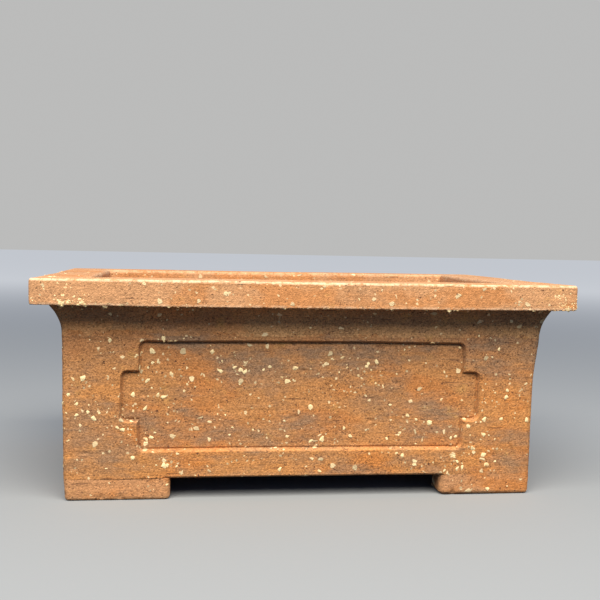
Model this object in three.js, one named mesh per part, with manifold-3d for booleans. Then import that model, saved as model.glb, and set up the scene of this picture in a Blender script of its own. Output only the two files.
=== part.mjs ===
// A small rectangular bonsai pot, slab-built in coarse unglazed stoneware: a pierced floor, four walls
// with a sunk panel each, a flat projecting lip carried on a cove, four bracket feet, and the coils of
// clay that seal the inside seams. Millimetres, +Z up, front towards -Y, origin under the middle of
// the pot at the level that it stands on.
//
// The pot is a set of rounded rectangles in plan, one inside another. An inset is the distance from
// the lip's outer edge in to one of them, and a section is drawn in (inset, height).

import * as THREE from "three";
import { mergeVertices } from "three/addons/utils/BufferGeometryUtils.js";
import Module from "manifold-3d";

const wasm = await Module();
wasm.setup();

// ---------------------------------------------------------------- driving dimensions

const potLength = 150; // over the lip, along X
const potDepth = 102; // over the lip, along Y
const potHeight = 61.4; // from the table to the top of the lip

const lipThickness = 6.8;
const lipOverhang = 8.4; // how far the lip stands out past the top of the wall's outer face
const lipEdgeRadius = 1; // rounding of the lip's long edges
const lipCornerRadius = 2; // rounding of the lip's outer corners, in plan

const wallThickness = 6; // at the top of the wall
const wallLean = 0.6; // the outer face comes in by this much on its way down
const wallCornerRadius = 1.6; // rounding of the pot's upright outer edges, in plan
const insideCornerRadius = 0.6; // the same for every inner edge

const coveReach = 3.6; // how far the cove stands out from the wall, under the lip
const coveDrop = 9; // how far it runs down the wall
const coveWaist = 0.8; // how far it still stands out at half of its drop

const panelDepth = 1.2; // how far the panel is sunk
const panelBorder = 1.3; // width of the slope around it
const panelStile = 15.6; // from the pot's upright edge to the side of the panel
const panelTopRail = 10.2; // from the lip down to the panel
const panelBottomRail = 7.4; // from the wall's lower edge up to the panel
const notchWidth = 4.6; // the square steps in the panel's corners
const notchHeight = 8.3;

const floorThickness = 6;
const drainDiameter = 15;
const drainSpacing = 70; // between the two drain holes' centres

const footHeight = 6;
const footFrontLength = 26.8; // the leg of the bracket that runs along the front or back
const footSideLength = 22; // the leg that runs along the side
const footWidth = 9.7; // of both legs, in plan
const footBevel = 0.8; // around the underside

const coilReach = 4; // how far an inside coil spreads along each of the two faces that it joins
const coilBelly = 1; // how far its face stands off both of them where they meet

const cornerFacets = 6; // around a quarter circle
const curveFacets = 6; // along a cove's or a coil's face
const drainFacets = 48;
const cutMargin = 5; // how far a cutting body stands out past what it cuts

// ---------------------------------------------------------------- levels and insets that follow

const halfLength = potLength / 2;
const halfDepth = potDepth / 2;

const lipUnderside = potHeight - lipThickness;
const floorTop = footHeight + floorThickness;
const wallInside = lipOverhang + wallThickness; // the inset of every inner face
const wallFoot = lipOverhang + wallLean; // the inset of the wall's lower edge and of the feet

/** The inset of the wall's leaning outer face at a height. */
function wallOutside(height) {
  return lipOverhang + (wallLean * (lipUnderside - height)) / (lipUnderside - footHeight);
}

/** The plan radius of the corners of the wall, and of what follows its outer face, at an inset. */
function wallRadius(inset) {
  return wallCornerRadius + ((insideCornerRadius - wallCornerRadius) * (inset - lipOverhang)) / wallThickness;
}

/** The plan radius of the lip's corners at an inset. */
function lipRadius(inset) {
  return lipCornerRadius + ((insideCornerRadius - lipCornerRadius) * inset) / wallInside;
}

// ---------------------------------------------------------------- clay

/** One of the pot's clays, which the kiln has toned differently: all of them are matt. */
function clay(colour) {
  return new THREE.MeshStandardMaterial({ color: colour, roughness: 0.9, metalness: 0 });
}

const lipClay = clay(0xd0935f);
const wallClay = clay(0xb97f50);
const coveClay = clay(0xa06c45);
const footClay = clay(0xcc9463);
const floorClay = clay(0xbd8960);
const seamClay = clay(0xb37d54);

// ---------------------------------------------------------------- outlines

/** A shape from its corner points, straight from each one to the next. */
function outline(points) {
  return new THREE.Shape(points.map(([x, y]) => new THREE.Vector2(x, y)));
}

/** Points around a quarter circle, which starts a number of quarter turns from the first axis. */
function quarterCircle(x, y, radius, quarterTurns) {
  return Array.from({ length: cornerFacets + 1 }, (_, i) => {
    const angle = (Math.PI / 2) * (quarterTurns + i / cornerFacets);
    return [x + radius * Math.cos(angle), y + radius * Math.sin(angle)];
  });
}

/** Points along a curve that heads for a knee as it leaves its start, and comes from there at its end. */
function hollowCurve(start, knee, end) {
  const [first, middle, last] = [start, knee, end].map(([x, y]) => new THREE.Vector2(x, y));
  const curve = new THREE.QuadraticBezierCurve(first, middle, last);
  return curve.getPoints(curveFacets).map(({ x, y }) => [x, y]);
}

/** The hollow face of an inside coil, between the two faces that it joins, which lie on the axes. */
const coilFace = hollowCurve([coilReach, 0], [coilBelly, coilBelly], [0, coilReach]);

// ---------------------------------------------------------------- solids

/** A closed geometry as a solid that can be cut. */
function solidOf(geometry) {
  const bare = geometry.clone();
  bare.deleteAttribute("normal");
  bare.deleteAttribute("uv");
  const merged = mergeVertices(bare, 1e-4);
  const vertProperties = new Float32Array(merged.getAttribute("position").array);
  const triVerts = new Uint32Array(merged.index.array);
  return new wasm.Manifold(new wasm.Mesh({ numProp: 3, vertProperties, triVerts }));
}

/** A solid as a geometry again. */
function geometryOf(solid) {
  const { vertProperties, triVerts } = solid.getMesh();
  const geometry = new THREE.BufferGeometry();
  geometry.setAttribute("position", new THREE.BufferAttribute(vertProperties, 3));
  geometry.setIndex(new THREE.BufferAttribute(triVerts, 1));
  geometry.computeVertexNormals();
  return geometry;
}

/** What is left of a closed geometry once others are cut out of it. */
function cut(geometry, ...cutters) {
  const left = cutters.reduce((solid, cutter) => solid.subtract(solidOf(cutter)), solidOf(geometry));
  return geometryOf(left);
}

/** Moves every vertex of a geometry to where place(x, y, z) says. */
function reshape(geometry, place) {
  const position = geometry.getAttribute("position");
  for (let i = 0; i < position.count; i++) {
    position.setXYZ(i, ...place(position.getX(i), position.getY(i), position.getZ(i)));
  }
  geometry.computeVertexNormals();
  return geometry;
}

/** A shape in plan, standing from one level up to another. */
function upright(shape, from, to) {
  const prism = new THREE.ExtrudeGeometry(shape, { depth: to - from, bevelEnabled: false });
  return prism.translate(0, 0, from);
}

/**
 * The front side of a ring: a section in (inset, height) that runs along one side of the rounded
 * rectangles, from the middle of one corner to the middle of the next, so that the four sides of
 * the pot meet in mitres.
 */
function mitredSide(section, halfAlong, halfAcross, radiusAt) {
  const stationsPerEnd = cornerFacets / 2;
  const steps = cornerFacets + 1;
  const straight = new THREE.ExtrudeGeometry(section, { depth: steps, steps, bevelEnabled: false });
  return reshape(straight, (inset, height, station) => {
    const step = Math.round(station);
    const atStart = step <= stationsPerEnd;
    const fromMitre = atStart ? step : steps - step;
    const angle = (Math.PI / 4) * (1 - fromMitre / stationsPerEnd);
    const radius = radiusAt(inset);
    const along = halfAlong - inset - radius * (1 - Math.sin(angle));
    const across = halfAcross - inset - radius * (1 - Math.cos(angle));
    return [atStart ? -along : along, -across, height];
  });
}

// ---------------------------------------------------------------- placing the pieces

const root = new THREE.Group();

/** Adds a piece to the pot. */
function add(name, geometry, material) {
  const mesh = new THREE.Mesh(geometry, material);
  mesh.name = name;
  root.add(mesh);
  return mesh;
}

const sides = [
  { side: "front", halfAlong: halfLength, halfAcross: halfDepth, turn: 0 },
  { side: "right", halfAlong: halfDepth, halfAcross: halfLength, turn: Math.PI / 2 },
  { side: "back", halfAlong: halfLength, halfAcross: halfDepth, turn: Math.PI },
  { side: "left", halfAlong: halfDepth, halfAcross: halfLength, turn: -Math.PI / 2 },
];

/** Adds a piece to each side of the pot, from a function that makes it as if it were the front. */
function addToSides(piece, material, make) {
  for (const { side, halfAlong, halfAcross, turn } of sides) {
    add(`${side}_${piece}`, make(halfAlong, halfAcross), material).rotation.z = turn;
  }
}

const corners = [
  { corner: "front_left", x: -1, y: -1, turn: 0 },
  { corner: "front_right", x: 1, y: -1, turn: Math.PI / 2 },
  { corner: "back_right", x: 1, y: 1, turn: Math.PI },
  { corner: "back_left", x: -1, y: 1, turn: -Math.PI / 2 },
];

// ---------------------------------------------------------------- floor slab

/** The floor, let in between the walls and pierced by two drain holes. */
function floorSlab() {
  const r = insideCornerRadius;
  const x = halfLength - wallInside - r;
  const y = halfDepth - wallInside - r;
  const plan = outline([
    ...quarterCircle(x, y, r, 0),
    ...quarterCircle(-x, y, r, 1),
    ...quarterCircle(-x, -y, r, 2),
    ...quarterCircle(x, -y, r, 3),
  ]);
  const drains = [-1, 1].map((side) => {
    const radius = drainDiameter / 2;
    const bore = new THREE.CylinderGeometry(radius, radius, floorThickness + 2 * cutMargin, drainFacets);
    bore.rotateX(Math.PI / 2);
    return bore.translate((side * drainSpacing) / 2, 0, (footHeight + floorTop) / 2);
  });
  return cut(upright(plan, footHeight, floorTop), ...drains);
}

add("floor_slab", floorSlab(), floorClay);

// ---------------------------------------------------------------- walls with their sunk panels

/** The body that sinks a panel into the front wall: a rectangle with a square step in each corner. */
function panelCutter(halfAlong, halfAcross) {
  const edge = halfAlong - lipOverhang - panelStile;
  const top = lipUnderside - panelTopRail;
  const bottom = footHeight + panelBottomRail;
  const rightHalf = [
    [edge - notchWidth, bottom],
    [edge - notchWidth, bottom + notchHeight],
    [edge, bottom + notchHeight],
    [edge, top - notchHeight],
    [edge - notchWidth, top - notchHeight],
    [edge - notchWidth, top],
  ];
  const leftHalf = rightHalf.map(([along, height]) => [-along, height]).reverse();
  const blank = new THREE.ExtrudeGeometry(outline([...rightHalf, ...leftHalf]), {
    depth: cutMargin,
    bevelSegments: 1,
    bevelThickness: panelDepth,
    bevelSize: panelBorder,
    bevelOffset: -panelBorder,
  });
  // One bevel ends on the wall's leaning face, and the rest of the body stands out in front of it.
  return reshape(blank, (along, height, out) => [along, wallOutside(height) - halfAcross - out, height]);
}

/** The front wall. */
function wall(halfAlong, halfAcross) {
  const section = outline([
    [wallFoot, footHeight],
    [wallInside, footHeight],
    [wallInside, lipUnderside],
    [lipOverhang, lipUnderside],
  ]);
  const slab = mitredSide(section, halfAlong, halfAcross, wallRadius);
  return cut(slab, panelCutter(halfAlong, halfAcross));
}

addToSides("wall", wallClay, wall);

// ---------------------------------------------------------------- cove and lip

/** The coil that carries the front of the lip: its face sweeps out from the wall to the lip. */
function cove(halfAlong, halfAcross) {
  const foot = lipUnderside - coveDrop;
  const edge = [lipOverhang - coveReach, lipUnderside];
  const knee = [lipOverhang - 2 * coveWaist + coveReach / 2, lipUnderside - coveDrop / 2];
  const face = hollowCurve(edge, knee, [wallOutside(foot), foot]);
  const section = outline([...face, [lipOverhang, lipUnderside]]);
  return mitredSide(section, halfAlong, halfAcross, wallRadius);
}

/** The flat strip that lies on the wall and the cove, with three of its long edges rounded. */
function lip(halfAlong, halfAcross) {
  const r = lipEdgeRadius;
  const section = outline([
    [wallInside, lipUnderside],
    ...quarterCircle(wallInside - r, potHeight - r, r, 0),
    ...quarterCircle(r, potHeight - r, r, 1),
    ...quarterCircle(r, lipUnderside + r, r, 2),
  ]);
  return mitredSide(section, halfAlong, halfAcross, lipRadius);
}

addToSides("cove", coveClay, cove);
addToSides("lip", lipClay, lip);

// ---------------------------------------------------------------- feet

/** The bracket foot of the back right corner: two legs that meet under it, flush with the walls. */
function foot() {
  const x = halfLength - wallFoot;
  const y = halfDepth - wallFoot;
  const r = wallRadius(wallFoot);
  const plan = outline([
    ...quarterCircle(x - r, y - r, r, 0),
    [x - footFrontLength, y],
    [x - footFrontLength, y - footWidth],
    [x - footWidth, y - footWidth],
    [x - footWidth, y - footSideLength],
    [x, y - footSideLength],
  ]);
  const blank = new THREE.ExtrudeGeometry(plan, {
    depth: footHeight,
    bevelSegments: 1,
    bevelThickness: footBevel,
    bevelSize: footBevel,
    bevelOffset: -footBevel,
  });
  blank.translate(0, 0, footBevel);
  // The extrusion is bevelled at both ends, and the upper bevel goes with all that stands too high.
  const above = new THREE.BoxGeometry(potLength, potDepth, footHeight);
  above.translate(halfLength, halfDepth, footHeight + footHeight / 2);
  return cut(blank, above);
}

for (const { corner, x, y } of corners) {
  add(`${corner}_foot`, foot(), footClay).scale.set(x, y, 1);
}

// ---------------------------------------------------------------- coils in the inside seams

/** The upright coil in the inside corner of two walls, which lie on the axes. */
function cornerSeam() {
  const r = insideCornerRadius;
  return upright(outline([...quarterCircle(r, r, r, 2), ...coilFace]), floorTop, lipUnderside);
}

/** The body that fits a floor coil around the foot of an upright one: its face, from past the walls. */
function cornerSeamCutter() {
  const plan = outline([
    [-cutMargin, -cutMargin],
    [coilReach, -cutMargin],
    ...coilFace,
    [-cutMargin, coilReach],
  ]);
  return upright(plan, floorTop - cutMargin, floorTop + coilReach + cutMargin);
}

/** The coil along the seam between the floor and the front wall. */
function floorSeam(halfAlong, halfAcross) {
  const face = coilFace.map(([inwards, up]) => [wallInside + inwards, floorTop + up]);
  const section = outline([[wallInside, floorTop], ...face]);
  const coil = mitredSide(section, halfAlong, halfAcross, () => insideCornerRadius);
  const x = halfAlong - wallInside;
  const y = halfAcross - wallInside;
  const leftEnd = cornerSeamCutter().translate(-x, -y, 0);
  const rightEnd = cornerSeamCutter().rotateZ(Math.PI / 2).translate(x, -y, 0);
  return cut(coil, leftEnd, rightEnd);
}

addToSides("floor_seam", seamClay, floorSeam);

for (const { corner, x, y, turn } of corners) {
  const coil = add(`${corner}_corner_seam`, cornerSeam(), seamClay);
  coil.position.set(x * (halfLength - wallInside), y * (halfDepth - wallInside), 0);
  coil.rotation.z = turn;
}

export default root;
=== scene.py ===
"""A small slab-built bonsai pot in coarse unglazed stoneware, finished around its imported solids.

Each slab, coil and foot of clay gets a skin of its own, with the unevenness that hands and tools leave, and
is dressed in the same grogged clay, toned differently by the kiln. Lengths are millimetres until a mesh is
made, which is in metres.
"""

import itertools
import logging
import math
from collections.abc import Callable, Iterable, Mapping
from dataclasses import dataclass, field
from enum import Enum

import bpy
import numpy as np
from mathutils import Matrix, Vector


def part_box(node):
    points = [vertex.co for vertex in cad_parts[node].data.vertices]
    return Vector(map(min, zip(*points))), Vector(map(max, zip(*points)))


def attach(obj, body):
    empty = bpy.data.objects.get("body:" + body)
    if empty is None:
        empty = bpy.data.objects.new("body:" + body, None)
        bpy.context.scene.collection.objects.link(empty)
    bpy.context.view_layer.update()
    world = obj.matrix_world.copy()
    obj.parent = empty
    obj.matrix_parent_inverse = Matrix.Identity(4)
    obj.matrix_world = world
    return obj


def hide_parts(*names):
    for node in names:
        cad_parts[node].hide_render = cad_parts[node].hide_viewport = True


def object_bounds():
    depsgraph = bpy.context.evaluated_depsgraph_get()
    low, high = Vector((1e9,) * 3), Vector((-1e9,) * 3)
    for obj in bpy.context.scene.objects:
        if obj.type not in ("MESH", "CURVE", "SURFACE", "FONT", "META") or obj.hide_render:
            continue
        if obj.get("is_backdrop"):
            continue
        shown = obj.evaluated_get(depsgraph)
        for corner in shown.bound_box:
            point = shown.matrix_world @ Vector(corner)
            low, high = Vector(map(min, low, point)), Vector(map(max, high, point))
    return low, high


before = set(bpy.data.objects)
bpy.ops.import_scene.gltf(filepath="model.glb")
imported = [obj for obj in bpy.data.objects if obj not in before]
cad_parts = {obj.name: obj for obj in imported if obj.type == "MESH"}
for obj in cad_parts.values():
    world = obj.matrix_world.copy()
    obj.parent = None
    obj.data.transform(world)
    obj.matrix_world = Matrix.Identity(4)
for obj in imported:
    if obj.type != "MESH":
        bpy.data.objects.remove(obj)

log = logging.getLogger("bonsai_pot")

MM = 0.001
UP = np.array([0.0, 0.0, 1.0])
BAKE_MAP = "OFBake"  # the map that the surfaces are laid out on
CRUMB_POINTS = 12  # the points of one crumb of grog
CORNER_STEPS = 5  # in half of a rounded corner
LINE_SAMPLES = 4000  # trial places along a line whose spacing varies
HASH_PRIMES = np.array([73856093, 19349663, 83492791])  # one for each axis of a lattice
HASH_SEED = 2654435761  # sets the lattices of different seeds apart
HASH_STIR = 1274126177  # mixes the parts of a hash
SHEEN = 0.3  # the specular level of unglazed clay

Array = np.ndarray
Piece = bpy.types.Object
Colour = tuple[float, float, float, float]
Place = tuple[float, float, float]


# ---- the pot's shared sizes


class Named(Enum):
    """A part of the pot that the solids name."""

    @property
    def label(self) -> str:
        """The name as the solids have it."""
        return self.name.lower()


class Side(Named):
    """A side of the pot, with the quarter turns that bring it there from the front."""

    FRONT = 0
    RIGHT = 1
    BACK = 2
    LEFT = 3

    @property
    def is_long(self) -> bool:
        """Whether the side runs along the pot's length."""
        return self in (Side.FRONT, Side.BACK)


class Slot(Enum):
    """The clays that the pieces are made of."""

    LIP = "lip_clay"
    WALL = "wall_clay"
    COVE = "cove_clay"
    FOOT = "foot_clay"
    FLOOR = "floor_clay"
    SEAM = "seam_clay"
    GROG = "grog"


class Corner(Named):
    """A corner of the pot, with the direction that it lies in."""

    FRONT_LEFT = (-1, -1)
    FRONT_RIGHT = (1, -1)
    BACK_RIGHT = (1, 1)
    BACK_LEFT = (-1, 1)


def box_mm(node: str) -> tuple[Array, Array]:
    """A solid's lowest and highest corner.

    Args:
        node: The name of the solid.

    Returns:
        The two corners, in millimetres.
    """
    low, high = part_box(node)
    return np.array(low) / MM, np.array(high) / MM


@dataclass(frozen=True)
class Proportions:
    """The sizes that every piece shares. An inset is a distance in from the lip's outer edge."""

    half_length: float
    half_depth: float
    height: float
    lip_underside: float
    overhang: float
    wall_inside: float
    wall_foot: float
    foot_height: float
    foot_length: float
    foot_depth: float
    floor_top: float
    cove_foot: float
    cove_reach: float
    coil_reach: float
    wall_corner: float = 1.6
    inside_corner: float = 0.6

    @classmethod
    def of_frame(cls) -> "Proportions":
        """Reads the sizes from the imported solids.

        Returns:
            The pot's sizes.
        """
        lip_low, lip_high = box_mm("front_lip")
        wall_low, _ = box_mm("front_wall")
        floor_low, floor_high = box_mm("floor_slab")
        foot_low, foot_high = box_mm("front_left_foot")
        cove_low, _ = box_mm("front_cove")
        seam_low, seam_high = box_mm("front_floor_seam")
        half_depth = -lip_low[1]
        return cls(
            half_length=box_mm("right_lip")[1][0],
            half_depth=half_depth,
            height=lip_high[2],
            lip_underside=lip_low[2],
            overhang=half_depth + wall_low[1],
            wall_inside=half_depth + floor_low[1],
            wall_foot=half_depth + foot_low[1],
            foot_height=foot_high[2],
            foot_length=foot_high[0] - foot_low[0],
            foot_depth=foot_high[1] - foot_low[1],
            floor_top=floor_high[2],
            cove_foot=cove_low[2],
            cove_reach=wall_low[1] - cove_low[1],
            coil_reach=seam_high[2] - seam_low[2],
        )

    def halves(self, side: Side) -> tuple[float, float]:
        """Half of the lip's size along a side, and across it."""
        pair = (self.half_length, self.half_depth)
        return pair if side.is_long else pair[::-1]

    def wall_outside(self, height: Array) -> Array:
        """The inset of the leaning outer face of the walls at each height."""
        rise = (self.lip_underside - height) / (self.lip_underside - self.foot_height)
        return self.overhang + (self.wall_foot - self.overhang) * rise

    def wall_radius(self, inset: Array) -> Array:
        """The plan radius of the walls' corners at each inset."""
        share = (inset - self.overhang) / (self.wall_inside - self.overhang)
        return self.wall_corner + (self.inside_corner - self.wall_corner) * share


# ---- hand work in the clay


def smoothstep(value: Array, low: float, high: float) -> Array:
    """A smooth rise from 0 at one value to 1 at another."""
    share = np.clip((value - low) / (high - low), 0, 1)
    return share * share * (3 - 2 * share)


def smooth_noise(points: Array, seed: int) -> Array:
    """Smooth random values on a lattice of whole numbers.

    Args:
        points: Places, one row of three numbers each.
        seed: Chooses the lattice.

    Returns:
        A value from -1 to 1 for each place.
    """
    cell = np.floor(points).astype(np.int64)
    part = points - cell
    part = part * part * (3 - 2 * part)
    total = np.zeros(len(points))
    for corner in itertools.product((0, 1), repeat=3):
        key = (cell + np.array(corner)) @ HASH_PRIMES + seed * HASH_SEED
        key = (key ^ (key >> 13)) * HASH_STIR
        key ^= key >> 16
        value = (key & 0xFFFF) / 32767.5 - 1
        total += value * np.prod(np.where(corner, part, 1 - part), axis=1)
    return total


@dataclass(frozen=True)
class HandWork:
    """How far hand work leaves clay from true: for each scale, a height and the length of its waves."""

    bow: tuple[float, float] = (0.2, 38.0)
    dent: tuple[float, float] = (0.12, 6.5)
    drag: tuple[float, float] = (0.05, 1.3)
    grit: tuple[float, float] = (0.035, 0.8)
    drag_stretch: float = 9.0

    @property
    def most(self) -> float:
        """The furthest that the clay can stand out."""
        return self.bow[0] + self.dent[0] + self.drag[0] + self.grit[0]

    def height(self, points: Array) -> Array:
        """How far the clay stands out at each place.

        Args:
            points: Places on the true surface, in millimetres.

        Returns:
            A height for each, in millimetres.
        """
        level = np.array([1 / self.drag_stretch, 1 / self.drag_stretch, 1.0])
        total = self.bow[0] * smooth_noise(points / self.bow[1], 3)
        total += self.dent[0] * smooth_noise(points / self.dent[1], 5)
        total += self.drag[0] * smooth_noise(points * level / self.drag[1], 7)
        total += self.grit[0] * smooth_noise(points / self.grit[1], 11)
        return total


@dataclass(frozen=True)
class OutOfTrue:
    """How far the ends of the walls have crept from where they were cut, as the clay dried and was fired."""

    left: float = 1.15  # the left end, outwards
    left_foot: float = 0.7  # the same at the table
    left_rise: float = 12.0  # the height at which the foot's creep has grown to the full one
    start: float = 47.0  # from the middle, where the creep begins
    stop: float = 64.0
    right: float = 1.3  # the swelling under the lip at the right end
    right_height: float = 47.0
    right_spread: float = 8.0

    def creep(self, points: Array) -> Array:
        """How far each place has moved along the pot's length.

        Args:
            points: Places on the true surface, in millimetres.

        Returns:
            The moves, as vectors.
        """
        x, z = points[..., 0], points[..., 2]
        left = self.left_foot + (self.left - self.left_foot) * smoothstep(z, 0.0, self.left_rise)
        moved = -left * smoothstep(-x, self.start, self.stop)
        swelling = np.exp(-(((z - self.right_height) / self.right_spread) ** 2))
        moved = moved + self.right * swelling * smoothstep(x, self.start, self.stop)
        return moved[..., None] * np.array([1.0, 0.0, 0.0])


@dataclass(frozen=True)
class Scars:
    """Round hollows in the clay: pits where grit fell out, and chips along edges."""

    centres: Array
    radii: Array
    depths: Array

    @classmethod
    def along(
        cls, rng: np.random.Generator, path: Array, count: int, radius: tuple[float, float], depth: float
    ) -> "Scars":
        """Scatters hollows over places.

        Args:
            rng: Source of the random choices.
            path: The places to choose from.
            count: How many hollows.
            radius: The smallest and the largest radius.
            depth: The deepest hollow, as a share of its radius.

        Returns:
            The hollows.
        """
        chosen = rng.integers(0, len(path), count)
        radii = radius[0] + (radius[1] - radius[0]) * rng.random(count) ** 2
        return cls(path[chosen], radii, radii * depth * rng.uniform(0.5, 1.0, count))

    def cut(self, points: Array) -> Array:
        """How far the hollows lower each place.

        Args:
            points: Places on the surface, one row each.

        Returns:
            The depth at each place.
        """
        lowered = np.zeros(len(points))
        for centre, radius, depth in zip(self.centres, self.radii, self.depths):
            near = np.flatnonzero(np.abs(points - centre).max(axis=1) < radius)
            far = np.sum((points[near] - centre) ** 2, axis=1) / radius**2
            lowered[near] = np.maximum(lowered[near], depth * np.clip(1 - far, 0, 1) ** 1.5)
        return lowered


# ---- skins


def graded(start: float, stop: float, step: float, edges: Iterable[float] = (), fine: float = 0.16) -> Array:
    """Places along a line, closer together around its edges.

    Args:
        start: The first place.
        stop: The last place.
        step: The usual spacing.
        edges: Where the spacing is fine.
        fine: The spacing there.

    Returns:
        The places, in order.
    """
    trial = np.linspace(start, stop, LINE_SAMPLES + 1)
    size = np.full_like(trial, step)
    for edge in edges:
        away = np.clip((np.abs(trial - edge) - 6 * fine) / (4 * step), 0, 1)  # 0 within six fine spacings
        size = np.minimum(size, fine + (step - fine) * away)
    per_sample = np.cumsum(2 / (size[1:] + size[:-1])) * (stop - start) / LINE_SAMPLES
    steps = np.concatenate([[0.0], per_sample])
    return np.interp(np.linspace(0, steps[-1], math.ceil(steps[-1]) + 1), steps, trial)


def quarter_circle(x: float, y: float, radius: float, quarter_turns: float, steps: int) -> Array:
    """Points around a quarter circle, which starts a number of quarter turns from the first axis."""
    angle = (quarter_turns + np.linspace(0, 1, steps + 1)) * math.pi / 2
    return np.column_stack([x + radius * np.cos(angle), y + radius * np.sin(angle)])


def straight(start: tuple[float, float], end: tuple[float, float], step: float) -> Array:
    """Points from one place to another, both included, about a step apart."""
    length = math.dist(start, end)
    return np.linspace(start, end, max(1, round(length / step)) + 1)


def hollow_curve(start: Array, knee: Array, end: Array, steps: int) -> Array:
    """Points along a curve that heads for a knee as it leaves its start, and comes from there at its end."""
    t = np.linspace(0, 1, steps + 1)[:, None]
    return (1 - t) ** 2 * start + 2 * t * (1 - t) * knee + t**2 * end


def joined(*parts: Array) -> Array:
    """One closed outline from its parts in order, without the points that two parts share.

    Args:
        parts: The parts, each one row a point.

    Returns:
        The points of the outline.
    """
    points = np.concatenate(parts)
    apart = np.linalg.norm(points - np.roll(points, 1, axis=0), axis=1) > 1e-6
    return points[apart]


def mesh_of(name: str, places: Array, corners: Array, counts: Array) -> bpy.types.Mesh:
    """Makes a mesh from arrays.

    Args:
        name: The mesh's name.
        places: The vertices, in metres.
        corners: The vertices of the faces, one face after another.
        counts: How many each face has.

    Returns:
        The mesh.
    """
    mesh = bpy.data.meshes.new(name)
    mesh.vertices.add(len(places))
    mesh.vertices.foreach_set("co", places.astype(np.float32).ravel())
    mesh.loops.add(len(corners))
    mesh.loops.foreach_set("vertex_index", corners.astype(np.int32))
    mesh.polygons.add(len(counts))
    mesh.polygons.foreach_set("loop_start", (np.cumsum(counts) - counts).astype(np.int32))
    mesh.update(calc_edges=True)
    return mesh


def lay_on(mesh: bpy.types.Mesh, label: str, values: Array) -> None:
    """Lays a value on each vertex of a mesh, for its material and the grains to read."""
    layer = mesh.attributes.new(label, "FLOAT", "POINT")
    layer.data.foreach_set("value", values.astype(np.float32).ravel())


def read(items: bpy.types.bpy_prop_collection, key: str, width: int = 1, kind: type = np.float32) -> Array:
    """Reads a property of many items.

    Args:
        items: The items.
        key: The property's name.
        width: How many numbers it has.
        kind: Their type.

    Returns:
        The numbers, one item after another.
    """
    values = np.empty(len(items) * width, kind)
    items.foreach_get(key, values)
    return values


def outward_normals(outline: Array) -> Array:
    """Unit normals of a closed outline in the plane, out of it.

    Args:
        outline: The points of the outline, in either direction.

    Returns:
        A normal for each point.
    """
    along = np.roll(outline, -1, axis=0) - np.roll(outline, 1, axis=0)
    normals = np.column_stack([along[:, 1], -along[:, 0]])
    normals /= np.linalg.norm(normals, axis=1, keepdims=True)
    return -normals if np.sum(normals * (outline - outline.mean(axis=0))) < 0 else normals


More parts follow.
